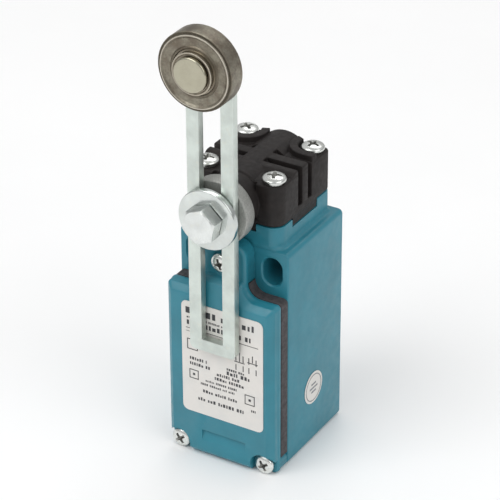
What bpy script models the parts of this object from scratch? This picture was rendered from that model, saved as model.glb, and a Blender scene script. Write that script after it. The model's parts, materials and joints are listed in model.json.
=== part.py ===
"""Compact die-cast limit switch with a slotted roller lever (EN 50047 size, 30 mm wide body).

Frame: origin on the rear mounting face, midway between the two mounting slots.
+X to the right seen from the front, -Y towards the cover and the lever, +Z up.
Every length below is in millimetres. The shape helpers turn them into metres.
"""

import math

import bmesh
import bpy
from mathutils import Matrix, Vector

MM = 0.001
GAP = 0.3
THREAD_PILOT_R = 1.8
COIL_POINTS = 10

# Body casting: heights are measured from the mounting slots' centre line.
BODY_HALF = 15.0
BODY_BOTTOM = -53.5
SHOULDER = -6.0
LEDGE = 5.75
EAR_CORNER = 0.85
COVE = 1.9
PEDESTAL_TOP = 11.5
BODY_FRONT = -26.45
CAVITY_BACK = -3.0
CAVITY_HALF = 12.2
CAVITY_BOTTOM = -49.5
CAVITY_TOP = -9.0
SLOT_X = 10.5
SLOT_WIDTH = 5.3
SLOT_HEIGHT = 7.3
CONDUIT_Y = -14.0
CONDUIT_R = 9.25

# Gasket and cover, stacked in front of the body.
GASKET_FRONT = -29.45
NECK_FRONT = -31.5
COVER_FRONT = -34.0
NECK_HALF = 6.1
NECK_TOP = 7.6
NECK_STEP = -1.5
COVER_SCREW_X = 11.9
COVER_SCREW_Z = -50.95
NECK_SCREW_Z = 2.45
NECK_SCREW_SEAT = -31.35
LUG_FRONT = -31.3
COVER_SCREW_R = 2.5
COVER_SCREW_HEIGHT = 2.1
POCKET_R = 3.3
SKIRT_INSET = 0.12
COVER_RIM = 1.3
COVER_CORNER = 1.6
LABEL_LEFT = -10.2
LABEL_RIGHT = 12.5
LABEL_BOTTOM = -40.8
LABEL_TOP = -9.6

# Head, square in plan so that it can be turned in quarter turns.
HEAD_HALF = 12.25
HEAD_Y = -13.94
HEAD_BOTTOM = 11.7
HEAD_TOP = 22.4
HEAD_CORNER = 3.4
HEAD_REAR_CORNER = 1.6
HEAD_SCREW = 9.15
HEAD_SCREW_SEAT = 21.95
HEAD_SCREW_R = 2.9
HEAD_SCREW_TOP = 24.4
COLUMN_INNER = 5.9
SADDLE_TOP = 23.5
CRESCENT_TOP = 24.0
TAB_HALF = 5.7
TAB_DEPTH = 2.2
TAB_BOTTOM = 9.7
BARREL_R = 7.2
BOSS_R = 6.8
BOSS_FRONT = -30.2

# Shaft, hub and lever, all about the shaft axis, which runs along Y.
SHAFT_Z = 16.9
SHAFT_R = 4.0
JOURNAL_R = 2.2
CAM_R = 4.3
CAM_FLAT = 2.9
HUB_R = 8.4
HUB_REAR = -30.6
HUB_FRONT = -34.3
LEVER_REAR = -34.65
LEVER_FRONT = -36.7
LEVER_HALF = 6.25
LEVER_BOTTOM = -20.5
LEVER_SLOT_HALF = 2.95
LEVER_SLOT_BOTTOM = -17.4
LEVER_SLOT_TOP = 51.0
WASHER_R = 7.7
WASHER_FRONT = -38.6
BOLT_ACROSS_FLATS = 8.1
BOLT_TURN = 18
BOLT_REAR = -38.8
BOLT_FRONT = -42.5
BOLT_R = 2.5
BOLT_TIP = -24.5

# Roller at the lever's upper end.
ROLLER_Z = 56.7
ROLLER_R = 9.7
ROLLER_REAR = -37.5
ROLLER_FRONT = -43.0
ROLLER_BORE = 5.65
ROLLER_LIP = 8.95
SPACER_FRONT = -37.3
BUSHING_FRONT = -44.0
PIN_R = 2.5
PIN_JOURNAL_R = 3.2
PIN_HEAD_R = 4.3
PIN_FRONT = -44.9

# Plunger under the cam, and the contact block behind the cover.
PLUNGER_TOP = SHAFT_Z - CAM_R - GAP
PLUNGER_R = 2.2
PLUNGER_BOTTOM = -8.2
SPRING_BORE = 4.2
SPRING_SEAT = 1.0
CARRIER_TOP = PLUNGER_BOTTOM - GAP
CARRIER_HALF = 2.6
CARRIER_BODY_TOP = -14.3
CARRIER_BOTTOM = -27.5
BLOCK_TOP = -11.0
BLOCK_BOTTOM = -36.0
BLOCK_BACK = -3.4
BLOCK_SHELF = -19.0
BLOCK_FRONT = -21.5
CHAMBER_HALF = 4.6
CHAMBER_BACK = -9.8
CHAMBER_TOP = -13.0
CHAMBER_BOTTOM = -34.0
TERMINAL_X = 7.9
NC_LEVEL = -17.0
NO_LEVEL = -28.5
UPPER_BRIDGE = -18.3
LOWER_BRIDGE = -24.6

# Local axes for a shape drawn in a plane and extruded along X, Y or Z.
PLANE = {
    "X": Matrix(((0, 0, 1), (1, 0, 0), (0, 1, 0))),
    "Y": Matrix(((1, 0, 0), (0, 0, -1), (0, 1, 0))),
    "Z": Matrix(((1, 0, 0), (0, 1, 0), (0, 0, 1))),
}


def clear_scene():
    for obj in list(bpy.data.objects):
        bpy.data.objects.remove(obj, do_unlink=True)


def new_collection(name):
    collection = bpy.data.collections.new(name)
    bpy.context.scene.collection.children.link(collection)
    return collection


def material(name, color, roughness, metallic):
    """A Principled material in one colour."""
    mat = bpy.data.materials.new(name)
    mat.use_nodes = True
    shader = mat.node_tree.nodes["Principled BSDF"]
    shader.inputs["Base Color"].default_value = (*color, 1.0)
    shader.inputs["Roughness"].default_value = roughness
    shader.inputs["Metallic"].default_value = metallic
    return mat


clear_scene()
PARTS = new_collection("limit_switch")
CUTTERS = new_collection("cutters")
MATERIALS = {
    "teal_paint": material("teal_paint", (0.045, 0.24, 0.30), 0.45, 0.0),
    "black_casting": material("black_casting", (0.035, 0.028, 0.027), 0.6, 0.0),
    "zinc_plate": material("zinc_plate", (0.62, 0.66, 0.64), 0.3, 1.0),
    "rough_zinc": material("rough_zinc", (0.42, 0.41, 0.39), 0.6, 1.0),
    "roller_steel": material("roller_steel", (0.17, 0.15, 0.12), 0.42, 1.0),
    "pin_steel": material("pin_steel", (0.50, 0.47, 0.38), 0.25, 1.0),
    "gasket_rubber": material("gasket_rubber", (0.06, 0.055, 0.06), 0.8, 0.0),
    "label_film": material("label_film", (0.78, 0.78, 0.76), 0.45, 0.0),
    "bronze": material("bronze", (0.48, 0.28, 0.12), 0.45, 1.0),
    "block_plastic": material("block_plastic", (0.10, 0.10, 0.11), 0.5, 0.0),
    "carrier_plastic": material("carrier_plastic", (0.55, 0.08, 0.06), 0.5, 0.0),
    "lid_plastic": material("lid_plastic", (0.55, 0.55, 0.52), 0.35, 0.0),
    "contact_silver": material("contact_silver", (0.75, 0.72, 0.66), 0.3, 1.0),
    "spring_steel": material("spring_steel", (0.55, 0.55, 0.56), 0.3, 1.0),
}


def add_mesh(name, mesh, location, rotation, mat):
    """Places a mesh as a part, or as a hidden cutter when it has no material."""
    obj = bpy.data.objects.new(name, mesh)
    obj.matrix_world = Matrix.Translation(Vector(location) * MM) @ rotation.to_4x4()
    if mat is None:
        CUTTERS.objects.link(obj)
        obj.hide_render = True
        obj.display_type = "WIRE"
    else:
        PARTS.objects.link(obj)
        mesh.materials.append(MATERIALS[mat])
    return obj


def smooth(obj, angle=35):
    obj.data.shade_smooth()
    obj.data.set_sharp_from_angle(angle=math.radians(angle))
    return obj


def block(name, low, high, mat=None):
    """A box between two corners."""
    bm = bmesh.new()
    bmesh.ops.create_cube(bm, size=1.0)
    size = [(b - a) * MM for a, b in zip(low, high)]
    bmesh.ops.scale(bm, vec=size, verts=bm.verts)
    mesh = bpy.data.meshes.new(name)
    bm.to_mesh(mesh)
    bm.free()
    centre = [(a + b) / 2 for a, b in zip(low, high)]
    return add_mesh(name, mesh, centre, Matrix.Identity(3), mat)


def rod(name, axis, centre, start, end, radius, mat=None, sides=24):
    """A cylinder along an axis. centre gives its two other coordinates in X, Y, Z order."""
    bm = bmesh.new()
    bmesh.ops.create_cone(
        bm, cap_ends=True, segments=sides, radius1=radius * MM, radius2=radius * MM,
        depth=abs(end - start) * MM,
    )
    mesh = bpy.data.meshes.new(name)
    bm.to_mesh(mesh)
    bm.free()
    place = list(centre)
    place.insert("XYZ".index(axis), (start + end) / 2)
    return smooth(add_mesh(name, mesh, place, PLANE[axis], mat))


def turned(name, axis, centre, profile, mat=None, steps=24):
    """A solid of revolution. profile lists (position along the axis, radius) round its section."""
    along = -1.0 if axis == "Y" else 1.0
    points = [(radius * MM, along * position * MM) for position, radius in profile]
    pairs = list(zip(points, points[1:] + points[:1]))
    area = sum(a[0] * b[1] - b[0] * a[1] for a, b in pairs)
    if area > 0:
        points.reverse()
    closed = all(radius > 0 for _, radius in profile)
    if not closed:
        while not (points[0][0] == 0 and points[-1][0] == 0):
            points.append(points.pop(0))
    mesh = bpy.data.meshes.new(name)
    edges = [(i, i + 1) for i in range(len(points) - 1)]
    if closed:
        edges.append((len(points) - 1, 0))
    mesh.from_pydata([(x, 0, z) for x, z in points], edges, [])
    place = list(centre)
    place.insert("XYZ".index(axis), 0)
    obj = add_mesh(name, mesh, place, PLANE[axis], mat)
    screw = obj.modifiers.new("Turn", "SCREW")
    screw.axis = "Z"
    screw.steps = steps
    screw.render_steps = steps
    screw.use_merge_vertices = True
    screw.merge_threshold = 0.00001
    screw.use_smooth_shade = True
    return obj


def arc(centre, radius, start, end, steps):
    """Points along an arc, angles in degrees."""
    angles = [math.radians(start + (end - start) * i / steps) for i in range(steps + 1)]
    return [(centre[0] + radius * math.cos(a), centre[1] + radius * math.sin(a)) for a in angles]


def rounded(corners, steps=4):
    """An outline through (u, v, radius) corners, each rounded with a tangent arc."""
    points = []
    for i, (u, v, radius) in enumerate(corners):
        here = Vector((u, v))
        if radius <= 0:
            points.append((u, v))
            continue
        before = (Vector(corners[i - 1][:2]) - here).normalized()
        after = (Vector(corners[(i + 1) % len(corners)][:2]) - here).normalized()
        half = before.angle(after) / 2
        centre = here + (before + after).normalized() * (radius / math.sin(half))
        first = here + before * (radius / math.tan(half)) - centre
        turn = first.angle_signed(here + after * (radius / math.tan(half)) - centre)
        for k in range(steps + 1):
            spoke = first.copy()
            spoke.rotate(Matrix.Rotation(-turn * k / steps, 2))
            points.append(tuple(centre + spoke))
    return points


def box_outline(left, bottom, right, top, radius=0.0, steps=4):
    corners = [(left, bottom), (right, bottom), (right, top), (left, top)]
    return rounded([(u, v, radius) for u, v in corners], steps)


def plate(name, axis, outlines, start, end, mat=None):
    """Flat outlines, extruded between two positions along an axis. Later outlines are holes."""
    curve = bpy.data.curves.new(name + "_outline", "CURVE")
    curve.dimensions = "2D"
    curve.fill_mode = "BOTH"
    curve.extrude = abs(end - start) / 2 * MM
    for outline in outlines:
        spline = curve.splines.new("POLY")
        spline.points.add(len(outline) - 1)
        for point, (u, v) in zip(spline.points, outline):
            point.co = (u * MM, v * MM, 0, 1)
        spline.use_cyclic_u = True
    guide = bpy.data.objects.new(name + "_outline", curve)
    bpy.context.scene.collection.objects.link(guide)
    place = [0.0, 0.0, 0.0]
    place["XYZ".index(axis)] = (start + end) / 2
    mesh = mesh_of(guide)
    if len(outlines) == 1:
        make_caps_whole(mesh)
    return add_mesh(name, mesh, place, PLANE[axis], mat)


def mesh_of(guide):
    """The evaluated mesh of a curve object, with its caps welded. The curve is removed."""
    depsgraph = bpy.context.evaluated_depsgraph_get()
    mesh = bpy.data.meshes.new_from_object(guide.evaluated_get(depsgraph))
    bm = bmesh.new()
    bm.from_mesh(mesh)
    bmesh.ops.remove_doubles(bm, verts=bm.verts, dist=0.000001)
    bmesh.ops.recalc_face_normals(bm, faces=bm.faces)
    bm.to_mesh(mesh)
    bm.free()
    curve = guide.data
    bpy.data.objects.remove(guide)
    bpy.data.curves.remove(curve)
    return mesh


def make_caps_whole(mesh):
    """Each flat cap of an extruded outline becomes one face."""
    bm = bmesh.new()
    bm.from_mesh(mesh)
    height = max(vert.co.z for vert in bm.verts)
    for level in (height, -height):
        flat = [f for f in bm.faces if all(abs(v.co.z - level) < 0.000001 for v in f.verts)]
        inner = [e for e in bm.edges if e.link_faces and all(f in flat for f in e.link_faces)]
        bmesh.ops.delete(bm, geom=flat, context="FACES_ONLY")
        bmesh.ops.delete(bm, geom=inner, context="EDGES")
        rim = [e for e in bm.edges if all(abs(v.co.z - level) < 0.000001 for v in e.verts)]
        bmesh.ops.contextual_create(bm, geom=rim)
    bmesh.ops.recalc_face_normals(bm, faces=bm.faces)
    bm.to_mesh(mesh)
    bm.free()


def coil(name, centre, bottom, top, radius, wire, turns, mat):
    """A compression spring along Z, its pitch closing up towards both ends."""
    curve = bpy.data.curves.new(name, "CURVE")
    curve.dimensions = "3D"
    curve.bevel_depth = wire * MM
    curve.bevel_resolution = 0
    curve.use_fill_caps = True
    spline = curve.splines.new("POLY")
    count = turns * COIL_POINTS
    spline.points.add(count)
    for i, point in enumerate(spline.points):
        angle = math.tau * i / COIL_POINTS
        share = i / count
        ease = share - 0.08 * math.sin(math.tau * share)
        z = bottom + wire + (top - bottom - 2 * wire) * ease
        point.co = (radius * math.cos(angle) * MM, radius * math.sin(angle) * MM, z * MM, 1)
    guide = bpy.data.objects.new(name + "_path", curve)
    bpy.context.scene.collection.objects.link(guide)
    return smooth(add_mesh(name, mesh_of(guide), (*centre, 0), Matrix.Identity(3), mat), 70)


def boolean(obj, tool, operation):
    modifier = obj.modifiers.new(operation.title() + "_" + tool.name, "BOOLEAN")
    modifier.operation = operation
    modifier.solver = "EXACT"
    modifier.object = tool
    return obj


def cut(obj, *tools):
    for tool in tools:
        boolean(obj, tool, "DIFFERENCE")
    return obj


def join(obj, *tools):
    for tool in tools:
        boolean(obj, tool, "UNION")
    return obj


def bevel(obj, width, segments=1, angle=40, profile=0.5):
    modifier = obj.modifiers.new("Edge", "BEVEL")
    modifier.width = width * MM
    modifier.segments = segments
    modifier.limit_method = "ANGLE"
    modifier.angle_limit = math.radians(angle)
    modifier.profile = profile
    modifier.use_clamp_overlap = True
    return obj


def empty(name, location, parent=None):
    """A pivot. The pieces that move about it are parented to it."""
    pivot = bpy.data.objects.new(name, None)
    PARTS.objects.link(pivot)
    pivot.location = Vector(location) * MM
    bpy.context.view_layer.update()
    if parent is not None:
        attach(parent, pivot)
    return pivot


def attach(pivot, *objects):
    bpy.context.view_layer.update()
    for obj in objects:
        obj.parent = pivot
        obj.matrix_parent_inverse = pivot.matrix_world.inverted()


# --- Body casting ---------------------------------------------------------------------------


def side_blocks(half, depth, proud, low, high):
    """Four blocks, one at the middle of each side of the head's square footprint."""
    reach = HEAD_HALF + proud
    inner = HEAD_HALF - depth
    blocks = []
    for sx, sy in ((1, 0), (-1, 0), (0, 1), (0, -1)):
        x = sorted((sx * inner, sx * reach)) if sx else (-half, half)
        y = sorted((sy * inner, sy * reach)) if sy else (-half, half)
        blocks.append(block("side_block", (x[0], HEAD_Y + y[0], low), (x[1], HEAD_Y + y[1], high)))
    return blocks


def head_square():
    """The head's footprint: round screw columns in front, tighter corners at the rear."""
    front, rear = HEAD_Y - HEAD_HALF, HEAD_Y + HEAD_HALF
    return rounded(
        [
            (-HEAD_HALF, front, HEAD_CORNER),
            (HEAD_HALF, front, HEAD_CORNER),
            (HEAD_HALF, rear, HEAD_REAR_CORNER),
            (-HEAD_HALF, rear, HEAD_REAR_CORNER),
        ],
        5,
    )


def head_screw_places():
    return [(sx * HEAD_SCREW, HEAD_Y + sy * HEAD_SCREW) for sx in (-1, 1) for sy in (-1, 1)]


def housing():
    """The body: an open-fronted box with two through slots, a pedestal and a bottom entry."""
    outline = rounded(
        [
            (-BODY_HALF, BODY_BOTTOM, 1.2),
            (BODY_HALF, BODY_BOTTOM, 1.2),
            (BODY_HALF, LEDGE, EAR_CORNER),
            (-BODY_HALF, LEDGE, EAR_CORNER),
        ],
        3,
    )
    body = plate("housing", "Y", [outline], BODY_FRONT, 0.0, "teal_paint")
    bevel(body, 0.45, 1, 60)
    pedestal = plate("pedestal", "Z", [head_square()], LEDGE - 2, PEDESTAL_TOP)
    join(body, pedestal_flare(), pedestal)
    cut(body, *side_blocks(TAB_HALF + 0.25, TAB_DEPTH + 0.3, 1.0, TAB_BOTTOM - 0.2, PEDESTAL_TOP + 1))
    cut(body, cavity())
    for side in (-1, 1):
        cut(body, mounting_slot(side))
        place = (side * COVER_SCREW_X, COVER_SCREW_Z)
        cut(body, rod("cover_screw_hole", "Y", place, -28, -18, THREAD_PILOT_R, None, 10))
        cut(body, rod("block_screw_hole", "Y", (side * 8.2, -33.6), -5, -1.2, 1.4, None, 12))
    cut(body, rod("neck_screw_hole", "Y", (0, NECK_SCREW_Z), -28, -20.5, THREAD_PILOT_R, None, 10))
    cut(body, rod("ground_screw_hole", "Y", (-7.5, -42.0), -5, -1.0, 1.9, None, 12))
    low, high = BODY_BOTTOM - 1, CAVITY_BOTTOM + 1
    cut(body, rod("conduit_entry", "Z", (0, CONDUIT_Y), low, high, CONDUIT_R, None, 32))
    cut(body, rod("plunger_guide", "Z", (0, HEAD_Y), CAVITY_TOP - 1, PEDESTAL_TOP + 1, 2.5, None, 16))
    cut(body, rod("spring_bore", "Z", (0, HEAD_Y), SPRING_SEAT, PEDESTAL_TOP + 1, SPRING_BORE, None, 20))
    groove = turned(
        "seal_groove", "Z", (0, HEAD_Y),
        [(PEDESTAL_TOP + 1, 7.0), (PEDESTAL_TOP + 1, 8.8), (10.0, 8.8), (10.0, 7.0)], None, 24,
    )
    cut(body, groove)
    for x, y in head_screw_places():
        cut(body, rod("head_screw_hole", "Z", (x, y), 4.6, PEDESTAL_TOP + 1, THREAD_PILOT_R, None, 10))
    return smooth(body)


def pedestal_flare():
    """A block that runs from the pedestal out to the ears, hollowed into a cove on either side."""
    half = HEAD_HALF + COVE
    top = LEDGE + COVE
    flare = block("pedestal_flare", (-half, BODY_FRONT + 0.5, LEDGE - 1), (half, -1.8, top))
    for side in (-1, 1):
        cut(flare, rod("flare_cove", "Y", (side * half, top), -30, 2, COVE, None, 24))
    return flare


def cavity():
    """The space behind the cover, stepped inwards at the two lower screw posts."""
    post = 8.4
    outline = rounded(
        [
            (-post, CAVITY_BOTTOM, 1),
            (post, CAVITY_BOTTOM, 1),
            (post, CAVITY_BOTTOM + 3, 0.8),
            (CAVITY_HALF, CAVITY_BOTTOM + 3, 1),
            (CAVITY_HALF, CAVITY_TOP, 1),
            (-CAVITY_HALF, CAVITY_TOP, 1),
            (-CAVITY_HALF, CAVITY_BOTTOM + 3, 1),
            (-post, CAVITY_BOTTOM + 3, 0.8),
        ],
        2,
    )
    return plate("cavity", "Y", [outline], BODY_FRONT - 1, CAVITY_BACK)


def mounting_slot(side):
    half = SLOT_WIDTH / 2
    x = side * SLOT_X
    outline = box_outline(x - half, -SLOT_HEIGHT / 2, x + half, SLOT_HEIGHT / 2, half * 0.96, 5)
    return plate("mounting_slot", "Y", [outline], BODY_FRONT - 1, 1)


# --- Cover, gasket and label ----------------------------------------------------------------


def shoulder_outline(inset, top, top_radius):
    """The cover's outline: a full-width panel that runs up into a narrow neck."""
    half = BODY_HALF - inset
    neck = NECK_HALF - inset
    shoulder = SHOULDER - inset
    return rounded(
        [
            (-half, BODY_BOTTOM + inset, COVER_CORNER),
            (half, BODY_BOTTOM + inset, COVER_CORNER),
            (half, shoulder, COVER_CORNER),
            (neck, shoulder, 3.2),
            (neck, top, top_radius),
            (-neck, top, top_radius),
            (-neck, shoulder, 3.2),
            (-half, shoulder, COVER_CORNER),
        ],
        5,
    )


def corner_blocks(width, height, front, rear):
    """Blocks that take away, or fill, the two lower corners."""
    blocks = []
    for side in (-1, 1):
        x = sorted((side * (BODY_HALF - width), side * (BODY_HALF + 1)))
        blocks.append(
            block("lower_corner", (x[0], front, BODY_BOTTOM - 1), (x[1], rear, BODY_BOTTOM + height))
        )
    return blocks


def cover_screw_places():
    return [(-COVER_SCREW_X, COVER_SCREW_Z), (COVER_SCREW_X, COVER_SCREW_Z), (0, NECK_SCREW_Z)]


def cover_gasket():
    gasket = plate(
        "cover_gasket", "Y",
        [shoulder_outline(0.15, SHOULDER + 1.8, 0.3), box_outline(-11.4, -45.6, 11.4, -9.6, 1.5, 3)],
        GASKET_FRONT + 0.03, BODY_FRONT - 0.03, "gasket_rubber",
    )
    cut(gasket, *corner_blocks(5.2, 3.8, -31, -25))
    for x, z in cover_screw_places()[:2]:
        cut(gasket, rod("gasket_hole", "Y", (x, z), -31, -25, 2.2, None, 16))
    return smooth(gasket)


def cover():
    """The front cover: a bevelled panel, a recessed neck, and pockets for the lower screws."""
    lower = plate(
        "cover", "Y", [shoulder_outline(0, NECK_TOP, 3.6)], NECK_FRONT, GASKET_FRONT, "teal_paint"
    )
    bevel(lower, 0.5, 1, 60)
    outline = shoulder_outline(0.06, NECK_STEP, COVER_CORNER)
    panel = plate("cover_panel", "Y", [outline], COVER_FRONT, GASKET_FRONT - 0.6)
    join(lower, bevel(panel, COVER_RIM, 1, 60))
    wide = NECK_HALF - SKIRT_INSET
    high = NECK_TOP - SKIRT_INSET
    skirt_outline = rounded(
        [
            (-wide, SHOULDER + 3.3, 0),
            (wide, SHOULDER + 3.3, 0),
            (wide, high, 3.6),
            (-wide, high, 3.6),
        ],
        5,
    )
    skirt = plate("neck_skirt", "Y", [skirt_outline], GASKET_FRONT - 1.0, BODY_FRONT - GAP)
    join(lower, skirt)
    for side in (-1, 1):
        x = sorted((side * (BODY_HALF - 4.9), side * (BODY_HALF - SKIRT_INSET)))
        lug = plate(
            "corner_lug", "Y",
            [box_outline(x[0], BODY_BOTTOM + SKIRT_INSET, x[1], BODY_BOTTOM + 3.5, 1.0, 3)],
            GASKET_FRONT - 1.0, BODY_FRONT - GAP,
        )
        join(lower, lug)
        cut(lower, screw_pocket(side))
    for x, z in cover_screw_places():
        cut(lower, rod("cover_hole", "Y", (x, z), -36, -25, 1.9, None, 12))
    counterbore_r = COVER_SCREW_R + 0.35
    place = (0, NECK_SCREW_Z)
    cut(lower, rod("neck_counterbore", "Y", place, -36, NECK_SCREW_SEAT + 0.1, counterbore_r, None, 24))
    cut(lower, tongue_recess())
    return smooth(lower)


def screw_pocket(side):
    """A pocket round a lower screw, open to the bottom and to the side."""
    x, z = side * COVER_SCREW_X, COVER_SCREW_Z
    outline = arc((x, z), POCKET_R, 0, 180, 12)
    outline += [(x - POCKET_R, BODY_BOTTOM - 2), (x + POCKET_R, BODY_BOTTOM - 2)]
    return plate("screw_pocket", "Y", [outline], COVER_FRONT - 1, LUG_FRONT)


def tongue_recess():
    """A shallow pry recess on the lower tongue. Its floor slopes in from the lower edge to the upper."""
    left, right, low, high, depth = -5.0, 7.3, -48.7, -45.6, 0.6
    outside = COVER_FRONT - 1
    wedge = [(outside, low), (COVER_FRONT - 0.05, low), (COVER_FRONT + depth, high), (outside, high)]
    return plate("tongue_recess", "X", [wedge], left, right)


def rating_label():
    outline = box_outline(LABEL_LEFT, LABEL_BOTTOM, LABEL_RIGHT, LABEL_TOP, 1.5, 4)
    return plate("rating_label", "Y", [outline], COVER_FRONT - 0.2, COVER_FRONT - 0.05, "label_film")


def side_sticker():
    rear, front = BODY_HALF + 0.05, BODY_HALF + 0.2
    return rod("side_sticker", "X", (-14.1, -37.8), rear, front, 4.35, "label_film", 40)


# --- Screws ---------------------------------------------------------------------------------


def pan_screw(name, axis, centre, seat, out, head_r, head_h, shank_r, length, cross=True):
    """A pan-head screw. out is +1 or -1, the way its head points along the axis."""
    top = seat + out * head_h
    tip = seat - out * length
    profile = [
        (top, 0.0),
        (top, head_r * 0.6),
        (top - out * head_h * 0.35, head_r),
        (seat, head_r),
        (seat, shank_r),
        (tip, shank_r),
        (tip, 0.0),
    ]
    screw = turned(name, axis, centre, profile, "zinc_plate", 16 if cross else 10)
    if cross:
        for size in ((0.62, 0.11), (0.11, 0.62)):
            cut(screw, recess_bar(axis, centre, top, out, head_r * size[0], head_r * size[1], head_h))
    return screw


def recess_bar(axis, centre, top, out, half_u, half_v, head_h):
    """One bar of a cross recess, two thirds as deep as the head."""
    low = sorted((top - out * head_h * 0.62, top + out))
    across = [(centre[0] - half_u, centre[0] + half_u), (centre[1] - half_v, centre[1] + half_v)]
    across.insert("XYZ".index(axis), low)
    return block("recess_bar", [pair[0] for pair in across], [pair[1] for pair in across])


def cover_screws():
    for index, place in enumerate(cover_screw_places()):
        seat = LUG_FRONT - 0.1 if index < 2 else NECK_SCREW_SEAT
        name = f"cover_screw_{index + 1}"
        pan_screw(name, "Y", place, seat, -1, COVER_SCREW_R, COVER_SCREW_HEIGHT, 1.5, 8.5)


def head_screws():
    seat = HEAD_SCREW_SEAT + 0.1
    for index, place in enumerate(head_screw_places()):
        name = f"head_screw_{index + 1}"
        pan_screw(name, "Z", place, seat, 1, HEAD_SCREW_R, HEAD_SCREW_TOP - seat, 1.5, 14.5)


# --- Head -----------------------------------------------------------------------------------


def rib_slot(side, y, half):
    """An L-shaped slot that runs from near the barrel's crest, over the edge and down the side."""
    inner, shelf, edge, floor, above = 2.6, 19.7, 10.5, 13.8, HEAD_TOP + 3
    points = [
        (inner, above), (inner, HEAD_TOP + 0.3), (5.2, shelf), (edge, shelf),
        (edge, floor), (14.0, floor), (14.0, above),
    ]
    outline = [(side * x, z) for x, z in points]
    if side < 0:
        outline.reverse()
    return plate("rib_slot", "Y", [outline], y - half, y + half)


def saddle():
    """The raised middle, right across the head, with its front sloping down to the screw columns."""
    low = HEAD_TOP - 1
    outline = [
        (-20.4, low), (-20.4, HEAD_TOP - 0.2), (-18.6, SADDLE_TOP), (-11.6, SADDLE_TOP), (-11.6, low),
    ]
    reach = HEAD_HALF - 0.08
    body = plate("saddle", "X", [outline], -reach, reach)
    return bevel(body, 0.5, 1, 80)


def crescent(side):
    """A wall that starts behind a rear screw, passes its inner side and runs out to the side face."""
    x, y = side * HEAD_SCREW, HEAD_Y + HEAD_SCREW
    inner, outer, turn = 3.6, 5.65, 114
    edge = side * (HEAD_HALF - 0.08)
    first = 156 if side > 0 else 24
    outline = arc((x, y), outer, first, first + side * turn, 12)
    outline += [(edge, y - outer), (edge, y - inner)]
    outline += arc((x, y), inner, first + side * turn, first, 12)
    return bevel(plate("crescent", "Z", [outline], HEAD_TOP - 1, CRESCENT_TOP), 0.3, 1, 80)


def head_casing():
    """The square head: barrel for the shaft, four screw columns, ribs, and a bearing boss in front."""
    head = plate("head_casing", "Z", [head_square()], HEAD_BOTTOM, HEAD_TOP, "black_casting")
    bevel(head, 0.4, 1, 60)
    front = HEAD_Y - HEAD_HALF
    recess = (-COLUMN_INNER, front - 1, HEAD_BOTTOM + 1.2), (COLUMN_INNER, front + 1, HEAD_TOP + 1)
    cut(head, block("front_recess", *recess))
    barrel = rod("barrel", "Y", (0, SHAFT_Z), front + 1.2, HEAD_Y + HEAD_HALF + 0.12, BARREL_R, None, 40)
    bevel(barrel, 0.4, 1, 60)
    cut(barrel, block("barrel_trim", (-9, -40, 5), (9, 10, HEAD_BOTTOM + 1)))
    boss = rod("bearing_boss", "Y", (0, SHAFT_Z), BOSS_FRONT, -24.5, BOSS_R, None, 32)
    join(head, barrel, boss, saddle())
    join(head, *side_blocks(TAB_HALF, TAB_DEPTH, -0.08, TAB_BOTTOM, HEAD_BOTTOM + 1))
    for side in (-1, 1):
        join(head, crescent(side))
        cut(head, rib_slot(side, -16.15, 1.0))
        cut(head, rib_slot(side, -11.6, 0.9))
    cut(head, cam_chamber())
    cut(head, rod("chamber_mouth", "Z", (0, HEAD_Y), 5, SHAFT_Z - 3, 4.7, None, 24))
    cut(head, rod("front_bore", "Y", (0, SHAFT_Z), -33, HEAD_Y, 5.3 + GAP, None, 24))
    cut(head, rod("rear_bore", "Y", (0, SHAFT_Z), HEAD_Y, -3.2, JOURNAL_R + 0.1, None, 20))
    for place in head_screw_places():
        cut(head, rod("head_hole", "Z", place, 5, 30, 1.9, None, 12))
        cut(head, rod("head_counterbore", "Z", place, HEAD_SCREW_SEAT, 30, HEAD_SCREW_R + 0.5, None, 20))
    return smooth(head)


def cam_chamber():
    return rod("cam_chamber", "Y", (0, SHAFT_Z), HEAD_Y - 5.3, HEAD_Y + 7.4, CAM_R + 0.5, None, 24)


def head_seal():
    """An O-ring in the pedestal's groove."""
    centre_z, mean, section = 10.85, 7.9, 0.68
    profile = [(centre_z + v, mean + u) for u, v in arc((0, 0), section, 0, 300, 5)]
    return turned("head_seal", "Z", (0, HEAD_Y), profile, "gasket_rubber")


def shaft_bushing():
    profile = [(-27.4, SHAFT_R + 0.1), (-27.4, 5.3), (-20.4, 5.3), (-20.4, SHAFT_R + 0.1)]
    return turned("shaft_bushing", "Y", (0, SHAFT_Z), profile, "bronze")


def shaft_seal():
    """A lip seal in the mouth of the bearing boss."""
    profile = [
        (-30.1, SHAFT_R + 0.6), (-30.1, 5.3), (-27.7, 5.3), (-29.3, 4.7), (-29.6, SHAFT_R + 0.1),
    ]
    return turned("shaft_seal", "Y", (0, SHAFT_Z), profile, "gasket_rubber")


# --- Shaft, hub and lever -------------------------------------------------------------------


def shaft():
    """The operating shaft: a stout front journal drilled for the clamp bolt, a thin rear one."""
    profile = [
        (-33.0, 2.8), (-33.0, SHAFT_R), (-19.6, SHAFT_R), (-19.6, JOURNAL_R), (-8.1, JOURNAL_R),
        (-8.1, 1.7), (-7.2, 1.7), (-7.2, JOURNAL_R), (-3.5, JOURNAL_R), (-3.5, 0.0),
        (-23.8, 0.0), (-23.8, 2.8),
    ]
    return turned("shaft", "Y", (0, SHAFT_Z), profile, "zinc_plate")


def cam():
    """A round cam with one flat, which faces the plunger at rest."""
    half = math.degrees(math.acos(CAM_FLAT / CAM_R))
    outline = arc((0, SHAFT_Z), CAM_R, -90 + half, 270 - half, 24)
    hole = arc((0, SHAFT_Z), JOURNAL_R + 0.15, 0, 345, 23)
    return plate("cam", "Y", [outline, hole], -18.6, -9.2, "zinc_plate")


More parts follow.
